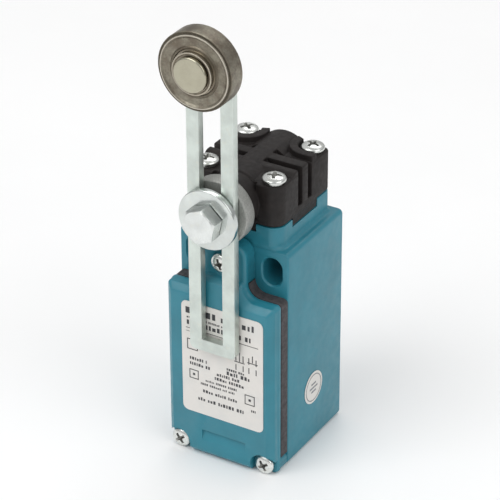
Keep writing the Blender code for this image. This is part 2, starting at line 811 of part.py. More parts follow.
def shaft_clip():
    outline = arc((0, SHAFT_Z), 3.7, -60, 240, 14) + arc((0, SHAFT_Z), 1.85, 240, -60, 10)
    return plate("shaft_clip", "Y", [outline], -8.0, -7.4, "spring_steel")


def hub():
    profile = [
        (HUB_REAR, 4.3), (HUB_REAR, HUB_R - 0.5), (HUB_REAR - 0.5, HUB_R), (HUB_FRONT + 0.35, HUB_R),
        (HUB_FRONT, HUB_R - 0.35), (HUB_FRONT, 2.8), (HUB_FRONT + 1.0, 2.8), (HUB_FRONT + 1.0, 4.3),
    ]
    return turned("hub", "Y", (0, SHAFT_Z), profile, "rough_zinc", 36)


def lever_arm():
    outline = rounded(
        [
            (-LEVER_HALF, LEVER_BOTTOM, 1.4),
            (LEVER_HALF, LEVER_BOTTOM, 1.4),
            (LEVER_HALF, ROLLER_Z + LEVER_HALF, LEVER_HALF * 0.98),
            (-LEVER_HALF, ROLLER_Z + LEVER_HALF, LEVER_HALF * 0.98),
        ],
        8,
    )
    half = LEVER_SLOT_HALF
    slot = box_outline(-half, LEVER_SLOT_BOTTOM, half, LEVER_SLOT_TOP, 0.4, 2)
    hole = arc((0, ROLLER_Z), PIN_R + 0.1, 0, 345, 23)
    arm = plate("lever_arm", "Y", [outline, slot, hole], LEVER_FRONT, LEVER_REAR, "zinc_plate")
    bevel(arm, 0.2, 1, 60)
    return smooth(arm)


def clamp_washer():
    rear = LEVER_FRONT - 0.2
    profile = [
        (rear, 2.8), (rear, WASHER_R - 0.3), (rear - 0.3, WASHER_R), (WASHER_FRONT + 0.35, WASHER_R),
        (WASHER_FRONT, WASHER_R - 0.35), (WASHER_FRONT, 2.8),
    ]
    return turned("clamp_washer", "Y", (0, SHAFT_Z), profile, "zinc_plate", 36)


def clamp_bolt():
    """Hex-head clamp bolt, its head chamfered by an intersection with a turned form."""
    corner = BOLT_ACROSS_FLATS / 2 / math.cos(math.radians(30))
    hexagon = arc((0, SHAFT_Z), corner, BOLT_TURN, BOLT_TURN + 300, 5)
    head = plate("clamp_bolt", "Y", [hexagon], BOLT_FRONT, BOLT_REAR, "zinc_plate")
    form = turned(
        "bolt_form", "Y", (0, SHAFT_Z),
        [(BOLT_REAR + 0.5, 0.0), (BOLT_REAR + 0.5, 5.6), (BOLT_FRONT + 0.9, 5.6),
         (BOLT_FRONT - 0.1, 3.87), (BOLT_FRONT - 0.1, 0.0)],
    )
    boolean(head, form, "INTERSECT")
    shank = rod("bolt_shank", "Y", (0, SHAFT_Z), BOLT_REAR - 1, BOLT_TIP, BOLT_R, None, 32)
    join(head, bevel(shank, 0.5, 1, 60))
    return head


def roller():
    """The outer ring: a plain tread, a raised lip round the front face, and a dished middle."""
    shelf = ROLLER_FRONT + 0.4
    profile = [
        (ROLLER_REAR, ROLLER_BORE), (ROLLER_REAR, ROLLER_R - 0.5), (ROLLER_REAR - 0.5, ROLLER_R),
        (shelf + 0.15, ROLLER_R), (shelf, ROLLER_R - 0.15), (shelf, ROLLER_LIP + 0.1),
        (ROLLER_FRONT, ROLLER_LIP), (ROLLER_FRONT, ROLLER_LIP - 0.3), (shelf, ROLLER_LIP - 0.9),
        (shelf, 6.1), (ROLLER_FRONT + 0.2, ROLLER_BORE + 0.15), (ROLLER_FRONT + 0.2, ROLLER_BORE),
    ]
    return turned("roller", "Y", (0, ROLLER_Z), profile, "roller_steel", 36)


def roller_bushing():
    """The fixed inner ring, its collar standing out in front of the roller."""
    bore = PIN_JOURNAL_R + 0.1
    outer = ROLLER_BORE - 0.08
    rear, step, collar = ROLLER_REAR - 0.1, ROLLER_FRONT + 0.3, 5.2
    profile = [
        (rear, bore), (rear, outer), (step, outer), (step, collar),
        (BUSHING_FRONT + 0.2, collar), (BUSHING_FRONT, collar - 0.2), (BUSHING_FRONT, bore),
    ]
    return turned("roller_bushing", "Y", (0, ROLLER_Z), profile, "roller_steel", 36)


def roller_spacer():
    rear, bore, outer = LEVER_FRONT - 0.15, PIN_R + 0.2, 5.4
    profile = [(rear, bore), (rear, outer), (SPACER_FRONT, outer), (SPACER_FRONT, bore)]
    return turned("roller_spacer", "Y", (0, ROLLER_Z), profile, "zinc_plate")


def roller_pin():
    """A shouldered rivet: a flat front head, a journal for the bushing, a peened rear head."""
    rear, shoulder, under = LEVER_REAR + 0.15, SPACER_FRONT - 0.1, BUSHING_FRONT - 0.15
    profile = [
        (rear + 0.5, 0.0), (rear + 0.5, 2.9), (rear, 3.4), (rear, PIN_R), (shoulder, PIN_R),
        (shoulder, PIN_JOURNAL_R), (under, PIN_JOURNAL_R), (under, PIN_HEAD_R),
        (PIN_FRONT + 0.35, PIN_HEAD_R), (PIN_FRONT + 0.1, PIN_HEAD_R - 0.15),
        (PIN_FRONT, PIN_HEAD_R - 0.5), (PIN_FRONT, 0.0),
    ]
    return turned("roller_pin", "Y", (0, ROLLER_Z), profile, "pin_steel", 24)


# --- Plunger and contact block --------------------------------------------------------------


def plunger():
    profile = [
        (PLUNGER_TOP, 0.0), (PLUNGER_TOP, 3.2), (PLUNGER_TOP - 0.4, 3.6), (10.8, 3.6),
        (10.8, PLUNGER_R), (PLUNGER_BOTTOM, PLUNGER_R), (PLUNGER_BOTTOM, 0.0),
    ]
    return turned("plunger", "Z", (0, HEAD_Y), profile, "carrier_plastic")


def plunger_spring():
    return coil("plunger_spring", (0, HEAD_Y), SPRING_SEAT + 0.3, 10.5, 3.25, 0.35, 5, "spring_steel")


def contact_block():
    """The moulded base: a chamber for the contact carrier between two terminal shelves."""
    wing = 10.7
    wall = 5.4
    outline = [
        (-wing, BLOCK_BACK), (-wing, BLOCK_SHELF), (-wall, BLOCK_SHELF), (-wall, BLOCK_FRONT),
        (wall, BLOCK_FRONT), (wall, BLOCK_SHELF), (wing, BLOCK_SHELF), (wing, BLOCK_BACK),
    ]
    base = plate("contact_block", "Z", [outline], BLOCK_BOTTOM, BLOCK_TOP, "block_plastic")
    chamber = block(
        "chamber", (-CHAMBER_HALF, BLOCK_FRONT - 1, CHAMBER_BOTTOM), (CHAMBER_HALF, CHAMBER_BACK, CHAMBER_TOP)
    )
    cut(base, chamber)
    cut(base, rod("stem_hole", "Z", (0, HEAD_Y), CHAMBER_TOP - 1, BLOCK_TOP + 1, 1.9, None, 20))
    for side in (-1, 1):
        for level in (NC_LEVEL, NO_LEVEL):
            x = sorted((side * 2.9, side * 6.8))
            cut(base, block("blade_slot", (x[0], -23, level - 0.6), (x[1], -12.2, level + 0.6)))
            hole = rod("terminal_hole", "Y", (side * TERMINAL_X, level), -23, -12.5, 1.5, None, 12)
            cut(base, hole)
        cut(base, rod("fixing_hole", "Y", (side * 8.2, -33.6), -23, 0, 1.4, None, 12))
    return base


def block_lid():
    lid = block("block_lid", (-5.2, -22.4, -34.8), (5.2, -21.8, -12.0), "lid_plastic")
    return bevel(lid, 0.15, 1)


def contact_blade(name, side, level):
    """A fixed contact: a terminal plate on the shelf, and a blade that reaches into the chamber."""
    plate_x = sorted((side * 5.7, side * 10.3))
    blade_x = sorted((side * 3.0, side * 6.5))
    pad = block(name, (plate_x[0], -19.9, level - 2.6), (plate_x[1], -19.3, level + 2.6), "contact_silver")
    join(pad, block("blade_arm", (blade_x[0], -19.8, level - 0.3), (blade_x[1], -12.6, level + 0.3)))
    cut(pad, rod("blade_hole", "Y", (side * TERMINAL_X, level), -21, -18, 1.5, None, 12))


def fixed_contacts():
    for side, place in ((-1, "left"), (1, "right")):
        contact_blade(f"nc_contact_{place}", side, NC_LEVEL)
        contact_blade(f"no_contact_{place}", side, NO_LEVEL)


def contact_carrier():
    body = block(
        "contact_carrier", (-CARRIER_HALF, -16.4, CARRIER_BOTTOM), (CARRIER_HALF, -11.5, CARRIER_BODY_TOP),
        "carrier_plastic",
    )
    join(body, rod("carrier_stem", "Z", (0, HEAD_Y), CARRIER_BODY_TOP - 1, CARRIER_TOP, 1.6, None, 20))
    for level in (UPPER_BRIDGE, LOWER_BRIDGE):
        window = block("bridge_window", (-4, -15.5, level - 1.2), (4, -12.4, level + 0.6))
        cut(body, window)
    return body


def contact_bridge(name, level, out):
    """A moving bridge with a contact button at either end."""
    bridge = block(name, (-4.3, -15.2, level - 0.25), (4.3, -12.7, level + 0.25), "contact_silver")
    for side in (-1, 1):
        join(bridge, rod("button", "Z", (side * 3.6, HEAD_Y), level, level + out * 0.6, 0.65, None, 12))
    return bridge


def carrier_spring():
    low, high = CHAMBER_BOTTOM + 0.2, CARRIER_BOTTOM - 0.2
    return coil("carrier_spring", (0, HEAD_Y), low, high, 1.9, 0.25, 5, "spring_steel")


def terminal_places():
    return [(side * TERMINAL_X, level) for side in (-1, 1) for level in (NC_LEVEL, NO_LEVEL)]


def terminals():
    for index, (x, z) in enumerate(terminal_places()):
        clamp = block(
            f"terminal_clamp_{index + 1}", (x - 2.2, -20.8, z - 2.3), (x + 2.2, -20.1, z + 2.3), "zinc_plate"
        )
        cut(clamp, rod("clamp_hole", "Y", (x, z), -22, -19, 1.5, None, 12))
        small_screw(f"terminal_screw_{index + 1}", (x, z), -20.9, 2.2, 1.2, 6.5)


def small_screw(name, place, seat, head_r, shank_r, length):
    return pan_screw(name, "Y", place, seat, -1, head_r, 1.3, shank_r, length, False)


def ground_clamp():
    clamp = block("ground_clamp", (-10.7, -4.4, -45.0), (-4.3, -3.4, -39.0), "zinc_plate")
    cut(clamp, rod("ground_hole", "Y", (-7.5, -42.0), -6, -2, 1.9, None, 16))
    return clamp


# --- Assembly -------------------------------------------------------------------------------


def build():
    """Makes every piece, and parents the moving ones to their pivots."""
    housing()
    cover_gasket()
    cover()
    cover_screws()
    rating_label()
    side_sticker()
    head_casing()
    head_seal()
    head_screws()
    shaft_bushing()
    shaft_seal()
    contact_block()
    block_lid()
    fixed_contacts()
    terminals()
    small_screw("block_screw_1", (-8.2, -33.6), -19.2, 2.0, 1.1, 16.5)
    small_screw("block_screw_2", (8.2, -33.6), -19.2, 2.0, 1.1, 16.5)
    small_screw("ground_screw", (-7.5, -42.0), -4.6, 2.8, 1.6, 2.2)
    ground_clamp()
    shaft_pivot = empty("shaft_pivot", (0, HEAD_Y, SHAFT_Z))
    attach(shaft_pivot, shaft(), cam(), shaft_clip(), hub(), clamp_washer(), clamp_bolt())
    lever_slide = empty("lever_slide", (0, LEVER_REAR, SHAFT_Z), shaft_pivot)
    attach(lever_slide, lever_arm(), roller_bushing(), roller_spacer(), roller_pin())
    roller_pivot = empty("roller_pivot", (0, ROLLER_REAR, ROLLER_Z), lever_slide)
    attach(roller_pivot, roller())
    plunger_pivot = empty("plunger_slide", (0, HEAD_Y, PLUNGER_TOP))
    attach(plunger_pivot, plunger())
    plunger_spring()
    carrier_pivot = empty("carrier_slide", (0, HEAD_Y, CARRIER_TOP))
    upper = contact_bridge("nc_bridge", UPPER_BRIDGE, 1)
    lower = contact_bridge("no_bridge", LOWER_BRIDGE, -1)
    attach(carrier_pivot, contact_carrier(), upper, lower)
    carrier_spring()


build()
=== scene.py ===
"""Looks of the limit switch: finer meshes for what shows, and a procedural material for every piece.

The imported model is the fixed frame. Lengths below are in millimetres and come from the frame's boxes;
the shape helpers turn them into metres.
"""

import json
import math
import random

import bmesh
import bpy
from mathutils import Matrix, Vector

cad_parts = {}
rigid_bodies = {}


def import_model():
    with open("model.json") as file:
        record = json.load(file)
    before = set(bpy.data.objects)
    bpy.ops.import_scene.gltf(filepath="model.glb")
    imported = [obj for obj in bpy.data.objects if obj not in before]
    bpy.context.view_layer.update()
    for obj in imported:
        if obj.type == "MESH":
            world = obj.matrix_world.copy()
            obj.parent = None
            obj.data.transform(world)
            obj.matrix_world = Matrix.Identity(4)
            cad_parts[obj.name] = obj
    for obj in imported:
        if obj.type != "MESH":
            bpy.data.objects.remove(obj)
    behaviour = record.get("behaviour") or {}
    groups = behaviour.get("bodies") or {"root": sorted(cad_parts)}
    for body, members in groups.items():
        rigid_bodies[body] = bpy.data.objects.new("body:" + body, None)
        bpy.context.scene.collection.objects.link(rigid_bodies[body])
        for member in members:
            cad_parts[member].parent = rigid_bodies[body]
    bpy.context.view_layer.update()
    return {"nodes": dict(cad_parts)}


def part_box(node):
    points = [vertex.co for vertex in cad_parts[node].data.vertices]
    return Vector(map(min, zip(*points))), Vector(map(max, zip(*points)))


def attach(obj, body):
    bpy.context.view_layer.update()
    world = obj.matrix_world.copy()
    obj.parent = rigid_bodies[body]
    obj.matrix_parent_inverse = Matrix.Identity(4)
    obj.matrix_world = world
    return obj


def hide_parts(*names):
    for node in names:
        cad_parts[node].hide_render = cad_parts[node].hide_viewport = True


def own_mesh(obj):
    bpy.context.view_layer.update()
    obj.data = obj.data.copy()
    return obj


MM = 0.001

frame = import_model()


def box_mm(node):
    """A CAD node's lowest and highest corners in millimetres."""
    low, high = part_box(node)
    return low / MM, high / MM


HOUSING = box_mm("housing")
COVER = box_mm("cover")
GASKET = box_mm("cover_gasket")
HEAD = box_mm("head_casing")
LEVER = box_mm("lever_arm")
ROLLER = box_mm("roller")
HUB = box_mm("hub")
WASHER = box_mm("clamp_washer")
BOLT = box_mm("clamp_bolt")
PIN = box_mm("roller_pin")
BUSHING = box_mm("roller_bushing")
LABEL = box_mm("rating_label")
STICKER = box_mm("side_sticker")

BODY_HALF = HOUSING[1].x
BODY_BOTTOM = HOUSING[0].z
BODY_FRONT = HOUSING[0].y
PEDESTAL_FRONT = BODY_FRONT + 0.3
PEDESTAL_TOP = HOUSING[1].z
LEDGE = 5.75
EAR_CORNER = 1.25
FOOT_CORNER = 1.2
COVE = 1.15
CAVITY_BOTTOM = -49.5
CAVITY_HALF = 12.2
CAVITY_TOP = -9.0
CAVITY_BACK = -3.0
PLUNGER_GUIDE_R = 2.5
SPRING_BORE_R = 4.2
SPRING_SEAT = 1.0
SLOT_X = 10.5
SLOT_HALF = 2.65
SLOT_TALL = 3.65
CONDUIT_Y = -14.0
CONDUIT_R = 9.25
THREAD_PITCH = 1.5
THREAD_DEPTH = 0.75

SHOULDER = -6.0
COVER_FRONT = COVER[0].y
COVER_BACK = GASKET[0].y - 0.03
NECK_FRONT = -31.5
NECK_HALF = 6.1
NECK_TOP = COVER[1].z
NECK_STEP = -1.5
NECK_CORNER = 3.6
NECK_SCREW_Z = 2.45
NECK_SCREW_SEAT = -31.35
COVER_SCREW_X = 11.9
COVER_SCREW_Z = -50.95
LUG_FRONT = -31.3
COVER_SCREW_R = 2.5
SCREW_R = 1.5
TAPPED_R = 1.8
CLEARANCE_R = 1.9
TAPPED_FROM = -28.0
COVER_SCREW_HEIGHT = 2.1
DOME_POWER = 0.9
POCKET_R = 3.3
SKIRT_INSET = 0.12
STICKER_RING = (3.75, 3.5)

HEAD_HALF = 12.25
HEAD_Y = -13.94
HEAD_TOP = 22.4
HEAD_BOTTOM = 11.7
HEAD_CORNER = 3.4
HEAD_REAR_CORNER = 1.6
HEAD_SCREW = 9.15
HEAD_SCREW_R = 2.9
HEAD_SCREW_TOP = 24.4
COLUMN_INNER = 5.9
SADDLE_TOP = 23.5
CRESCENT_TOP = 24.0
TAB_HALF = 5.7
TAB_DEPTH = 2.2
TAB_BOTTOM = HEAD[0].z
BARREL_R = 7.2
BOSS_R = 6.8
BOSS_FRONT = HEAD[0].y
RIB_SLOTS = ((-16.15, 1.0), (-11.6, 0.9))
CAM_CHAMBER_R = 4.8
PLUNGER_MOUTH_R = 4.7
BEARING_BORE_R = 5.6
REAR_BORE_R = 2.3

SHAFT_Z = (HUB[0].z + HUB[1].z) / 2
HUB_R = (HUB[1].x - HUB[0].x) / 2
WASHER_R = (WASHER[1].x - WASHER[0].x) / 2
ROLLER_Z = (ROLLER[0].z + ROLLER[1].z) / 2
SHAFT = (0, SHAFT_Z)
ROLLER_AXIS = (0, ROLLER_Z)
PLUNGER_AXIS = (0, HEAD_Y)
ROLLER_R = (ROLLER[1].z - ROLLER[0].z) / 2
ROLLER_BORE = 5.65
ROLLER_LIP = 8.95
LEVER_HALF = LEVER[1].x
LEVER_SLOT_HALF = 2.95
LEVER_SLOT_BOTTOM = -17.4
LEVER_SLOT_TOP = 51.0
CLAMP_HOLE_R = 2.8
HUB_BORE_R = 4.3
BOLT_REAR = -38.8
BOLT_HALF_FLATS = 4.05
BOLT_TURN = 18
PIN_HEAD_R = PIN[1].x

TEAL = (0.020, 0.198, 0.264)
PLANE = {
    "X": Matrix(((0, 0, 1), (1, 0, 0), (0, 1, 0))),
    "Y": Matrix(((1, 0, 0), (0, 0, -1), (0, 1, 0))),
    "Z": Matrix(((1, 0, 0), (0, 1, 0), (0, 0, 1))),
}

CUTTERS = bpy.data.collections.new("cutters")
bpy.context.scene.collection.children.link(CUTTERS)


# --- Shape helpers ---


def add_mesh(name, mesh, location, rotation):
    obj = bpy.data.objects.new(name, mesh)
    obj.matrix_world = Matrix.Translation(Vector(location) * MM) @ rotation.to_4x4()
    CUTTERS.objects.link(obj)
    return obj


def mesh_of(name, bm):
    mesh = bpy.data.meshes.new(name)
    bm.to_mesh(mesh)
    bm.free()
    return mesh


def block(name, low, high):
    bm = bmesh.new()
    bmesh.ops.create_cube(bm, size=1.0)
    bmesh.ops.scale(bm, vec=[(b - a) * MM for a, b in zip(low, high)], verts=bm.verts)
    middle = [(a + b) / 2 for a, b in zip(low, high)]
    return add_mesh(name, mesh_of(name, bm), middle, Matrix.Identity(3))


def rod(name, axis, centre, start, end, radius, sides=64, end_radius=None):
    """A cylinder, or a cone when end_radius is given. centre holds its two other coordinates."""
    bm = bmesh.new()
    first = radius if end_radius is None else end_radius
    low, high = (radius, first) if start < end else (first, radius)
    if axis == "Y":
        low, high = high, low
    bmesh.ops.create_cone(
        bm, cap_ends=True, segments=sides, radius1=low * MM, radius2=high * MM,
        depth=abs(end - start) * MM,
    )
    place = list(centre)
    place.insert("XYZ".index(axis), (start + end) / 2)
    return add_mesh(name, mesh_of(name, bm), place, PLANE[axis])


def turned(name, axis, centre, profile, steps=96):
    """A solid of revolution. profile lists (position along the axis, radius) round its section."""
    along = -1.0 if axis == "Y" else 1.0
    points = [(radius * MM, along * position * MM) for position, radius in profile]
    pairs = list(zip(points, points[1:] + points[:1]))
    if sum(a[0] * b[1] - b[0] * a[1] for a, b in pairs) > 0:
        points.reverse()
    closed = all(radius > 0 for _, radius in profile)
    if not closed:
        while not (points[0][0] == 0 and points[-1][0] == 0):
            points.append(points.pop(0))
    mesh = bpy.data.meshes.new(name)
    edges = [(i, i + 1) for i in range(len(points) - 1)]
    if closed:
        edges.append((len(points) - 1, 0))
    mesh.from_pydata([(x, 0, z) for x, z in points], edges, [])
    place = list(centre)
    place.insert("XYZ".index(axis), 0)
    obj = add_mesh(name, mesh, place, PLANE[axis])
    screw = obj.modifiers.new("Turn", "SCREW")
    screw.steps = steps
    screw.render_steps = steps
    screw.use_merge_vertices = True
    screw.merge_threshold = 0.00001
    return obj


def rounded_profile(points, radius, steps=3):
    """A closed turned profile with its corners rounded. Points are (position, radius, round or not)."""
    return rounded([(p, r, radius if soft else 0.0) for p, r, soft in points], steps)


def arc(centre, radius, start, end, steps):
    angles = [math.radians(start + (end - start) * i / steps) for i in range(steps + 1)]
    return [(centre[0] + radius * math.cos(a), centre[1] + radius * math.sin(a)) for a in angles]


def rounded(corners, steps=8):
    """An outline through (u, v, radius) corners, each rounded with a tangent arc."""
    points = []
    for i, (u, v, radius) in enumerate(corners):
        here = Vector((u, v))
        if radius <= 0:
            points.append((u, v))
            continue
        before = (Vector(corners[i - 1][:2]) - here).normalized()
        after = (Vector(corners[(i + 1) % len(corners)][:2]) - here).normalized()
        half = before.angle(after) / 2
        centre = here + (before + after).normalized() * (radius / math.sin(half))
        first = here + before * (radius / math.tan(half)) - centre
        turn = first.angle_signed(here + after * (radius / math.tan(half)) - centre)
        for k in range(steps + 1):
            spoke = first.copy()
            spoke.rotate(Matrix.Rotation(-turn * k / steps, 2))
            points.append(tuple(centre + spoke))
    return points


def mirrored(right):
    """The corners of a symmetric outline, from those of its right half, lowest first."""
    left = [(-u, v, radius) for u, v, radius in right]
    return [left[0], *right, *left[:0:-1]]


def box_outline(left, bottom, right, top, radius=0.0, steps=8):
    corners = [(left, bottom), (right, bottom), (right, top), (left, top)]
    return rounded([(u, v, radius) for u, v in corners], steps)


def plate(name, axis, outlines, start, end):
    """Flat outlines, extruded between two positions along an axis. Later outlines are holes."""
    curve = bpy.data.curves.new(name + "_outline", "CURVE")
    curve.dimensions = "2D"
    curve.fill_mode = "BOTH"
    curve.extrude = abs(end - start) / 2 * MM
    for outline in outlines:
        spline = curve.splines.new("POLY")
        spline.points.add(len(outline) - 1)
        for point, (u, v) in zip(spline.points, outline):
            point.co = (u * MM, v * MM, 0, 1)
        spline.use_cyclic_u = True
    guide = bpy.data.objects.new(name + "_outline", curve)
    bpy.context.scene.collection.objects.link(guide)
    mesh = bpy.data.meshes.new_from_object(guide.evaluated_get(bpy.context.evaluated_depsgraph_get()))
    bpy.data.objects.remove(guide)
    bpy.data.curves.remove(curve)
    bm = bmesh.new()
    bm.from_mesh(mesh)
    bmesh.ops.remove_doubles(bm, verts=bm.verts, dist=0.000001)
    if len(outlines) == 1:
        make_caps_whole(bm)
    bmesh.ops.recalc_face_normals(bm, faces=bm.faces)
    bm.to_mesh(mesh)
    bm.free()
    place = [0.0, 0.0, 0.0]
    place["XYZ".index(axis)] = (start + end) / 2
    return add_mesh(name, mesh, place, PLANE[axis])


def loft(name, axis, sections):
    """Closed outlines with equally many points, joined one after another. Lists (position, outline)."""
    bm = bmesh.new()
    rings = [[bm.verts.new((u * MM, v * MM, place * MM)) for u, v in outline] for place, outline in sections]
    count = len(rings[0])
    for ring, following in zip(rings, rings[1:]):
        for i in range(count):
            j = (i + 1) % count
            bm.faces.new((ring[i], ring[j], following[j], following[i]))
    bm.faces.new(rings[0])
    bm.faces.new(rings[-1])
    if axis == "Y":
        for vert in bm.verts:
            vert.co.z = -vert.co.z
    bm.normal_update()
    bmesh.ops.recalc_face_normals(bm, faces=bm.faces)
    return add_mesh(name, mesh_of(name, bm), (0, 0, 0), PLANE[axis])


def make_caps_whole(bm):
    """Each flat cap of an extruded outline becomes one face."""
    height = max(vert.co.z for vert in bm.verts)
    for level in (height, -height):
        flat = [f for f in bm.faces if all(abs(v.co.z - level) < 0.000001 for v in f.verts)]
        inner = [e for e in bm.edges if e.link_faces and all(f in flat for f in e.link_faces)]
        bmesh.ops.delete(bm, geom=flat, context="FACES_ONLY")
        bmesh.ops.delete(bm, geom=inner, context="EDGES")
        rim = [e for e in bm.edges if all(abs(v.co.z - level) < 0.000001 for v in e.verts)]
        bmesh.ops.contextual_create(bm, geom=rim)


def boolean(obj, tool, operation):
    modifier = obj.modifiers.new(operation.title(), "BOOLEAN")
    modifier.operation = operation
    modifier.solver = "EXACT"
    modifier.object = tool
    tool.hide_render = True


def cut(obj, *tools):
    for tool in tools:
        boolean(obj, tool, "DIFFERENCE")


def join(obj, *tools):
    for tool in tools:
        boolean(obj, tool, "UNION")


def bevel(obj, width, segments=3, angle=40):
    modifier = obj.modifiers.new("Edge", "BEVEL")
    modifier.width = width * MM
    modifier.segments = segments
    modifier.limit_method = "ANGLE"
    modifier.angle_limit = math.radians(angle)
    return obj


def soften(obj, width=0.1, segments=2, angle=50):
    """A fine bevel on the edges that the cuts left."""
    modifier = bevel(obj, width, segments, angle).modifiers[-1]
    modifier.use_clamp_overlap = False
    modifier.miter_outer = "MITER_ARC"


def placed(mesh, name, body, node):
    """The mesh as a visible piece on its body, in place of the CAD node, if one is named."""
    piece = bpy.data.objects.new(name + "_fine", mesh)
    bpy.context.scene.collection.objects.link(piece)
    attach(piece, body)
    if node:
        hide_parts(node)
    return piece


def finished(obj, body, finish, node=None, sharp=38):
    """Applies the modifiers, shades the piece smooth between sharp edges, and puts it on its body."""
    depsgraph = bpy.context.evaluated_depsgraph_get()
    mesh = bpy.data.meshes.new_from_object(obj.evaluated_get(depsgraph))
    mesh.transform(obj.matrix_world)
    mesh.materials.clear()
    mesh.materials.append(MATS[finish])
    mesh.shade_smooth()
    mesh.set_sharp_from_angle(angle=math.radians(sharp))
    return placed(mesh, obj.name, body, node)


# --- Material helpers ---


class Shader:
    """A Principled material under construction, with short calls for the nodes used here."""

    def __init__(self, name, color, roughness, metallic=0.0):
        self.mat = bpy.data.materials.new(name)
        self.mat.use_nodes = True
        self.tree = self.mat.node_tree
        self.bsdf = self.tree.nodes["Principled BSDF"]
        self.bsdf.inputs["Base Color"].default_value = (*color, 1)
        self.bsdf.inputs["Roughness"].default_value = roughness
        self.bsdf.inputs["Metallic"].default_value = metallic
        self.coord = self.tree.nodes.new("ShaderNodeTexCoord").outputs["Object"]
        self.normal = None
        self.mat.diffuse_color = (*color, 1)

    def node(self, kind, inputs=None, **settings):
        """A node with these settings, and with a value or a link for each input named."""
        made = self.tree.nodes.new(kind)
        for key, value in settings.items():
            setattr(made, key, value)
        for key, value in (inputs or {}).items():
            if isinstance(value, bpy.types.NodeSocket):
                self.link(value, made.inputs[key])
            else:
                made.inputs[key].default_value = value
        return made

    def link(self, source, target):
        self.tree.links.new(source, target)

    def stretched(self, scale):
        inputs = {"Scale": scale, "Vector": self.coord}
        return self.node("ShaderNodeMapping", inputs).outputs["Vector"]

    def noise(self, grain_mm, detail=3.0, roughness=0.55, coord=None):
        """Noise whose features are about grain_mm across."""
        inputs = {
            "Scale": 1.0 / (grain_mm * MM), "Detail": detail, "Roughness": roughness,
            "Vector": coord or self.coord,
        }
        return self.node("ShaderNodeTexNoise", inputs).outputs["Fac"]

    def ramp(self, fac, low, high, a=0.0, b=1.0):
        """fac mapped from low..high to a..b, clamped."""
        inputs = {"Value": fac, "From Min": low, "From Max": high, "To Min": a, "To Max": b}
        return self.node("ShaderNodeMapRange", inputs).outputs["Result"]

    def math(self, operation, a, b):
        return self.node("ShaderNodeMath", {0: a, 1: b}, operation=operation).outputs["Value"]

    def vector_math(self, operation, a, b=(0.0, 0.0, 0.0)):
        return self.node("ShaderNodeVectorMath", {0: a, 1: b}, operation=operation).outputs

    def mix(self, fac, a, b):
        """A colour between a and b, each a colour or a node's output."""
        first, second = [(*color, 1) if isinstance(color, tuple) else color for color in (a, b)]
        return self.node("ShaderNodeMix", {0: fac, 6: first, 7: second}, data_type="RGBA").outputs[2]

    def mottle(self, base, grain_mm, detail, dark, light):
        """The base colour in darker and lighter patches about grain_mm across."""
        patches = self.ramp(self.noise(grain_mm, detail), 0.35, 0.65)
        return self.mix(patches, scaled(base, dark), scaled(base, light))

    def edges(self, radius_mm, low=0.02, high=0.25):
        """1 along convex and concave edges, 0 on flat ground."""
        soft = self.node("ShaderNodeBevel", {"Radius": radius_mm * MM}, samples=4)
        flat = self.node("ShaderNodeNewGeometry")
        dot = self.vector_math("DOT_PRODUCT", soft.outputs["Normal"], flat.outputs["Normal"])
        return self.ramp(self.math("SUBTRACT", 1.0, dot["Value"]), low, high)

    def bump(self, height, depth_mm, strength=1.0):
        inputs = {"Strength": strength, "Distance": depth_mm * MM, "Height": height}
        if self.normal is not None:
            inputs["Normal"] = self.normal
        self.normal = self.node("ShaderNodeBump", inputs).outputs["Normal"]

    def color(self, output):
        self.link(output, self.bsdf.inputs["Base Color"])

    def rough(self, output):
        self.link(output, self.bsdf.inputs["Roughness"])

    def rough_between(self, grain_mm, detail, low, high):
        self.rough(self.ramp(self.noise(grain_mm, detail), 0.3, 0.7, low, high))

    def done(self):
        if self.normal is not None:
            self.link(self.normal, self.bsdf.inputs["Normal"])
        return self.mat


def scaled(color, factor):
    return tuple(min(1.0, channel * factor) for channel in color)


def teal_paint():
    """Semi-gloss enamel over a die casting: faint orange peel, mottling, and a patchy painted highlight along
    the edges.
    """
    s = Shader("teal_enamel", TEAL, 0.42)
    mottled = s.mottle(TEAL, 9.0, 4, 0.92, 1.08)
    specks = s.ramp(s.noise(0.35, 2), 0.66, 0.74)
    speckled = s.mix(s.math("MULTIPLY", specks, 0.12), mottled, scaled(TEAL, 1.7))
    # The paler teal along the edges is a painted highlight, broken up by noise.
    edge_highlight = s.math("MULTIPLY", s.edges(0.35), s.ramp(s.noise(1.6, 4), 0.3, 0.7, 0.15, 0.55))
    s.color(s.mix(edge_highlight, speckled, (0.105, 0.35, 0.42)))
    s.rough_between(2.5, 4, 0.36, 0.50)
    s.bump(s.noise(0.9, 2), 0.02, 0.5)
    s.bump(s.noise(0.22, 2), 0.006, 0.5)
    s.bsdf.inputs["Coat Weight"].default_value = 0.12
    s.bsdf.inputs["Coat Roughness"].default_value = 0.25
    return s.done()


def black_casting():
    """Matte brown-black paint over a cast skin, with a patchy, paler painted highlight along the edges."""
    base = (0.0118, 0.0088, 0.0080)
    s = Shader("black_cast_paint", base, 0.6)
    mottled = s.mottle(base, 3.0, 5, 0.8, 1.3)
    # The paler brown along the edges is a painted highlight, broken up by noise.
    edge_highlight = s.math("MULTIPLY", s.edges(0.25), s.ramp(s.noise(0.9, 4), 0.35, 0.65, 0.1, 0.5))
    s.color(s.mix(edge_highlight, mottled, (0.055, 0.045, 0.040)))
    s.rough_between(1.1, 4, 0.52, 0.68)
    s.bump(s.noise(0.45, 3), 0.022, 0.6)
    s.bump(s.noise(0.12, 2), 0.006, 0.4)
    s.bsdf.inputs["Specular IOR Level"].default_value = 0.34
    return s.done()


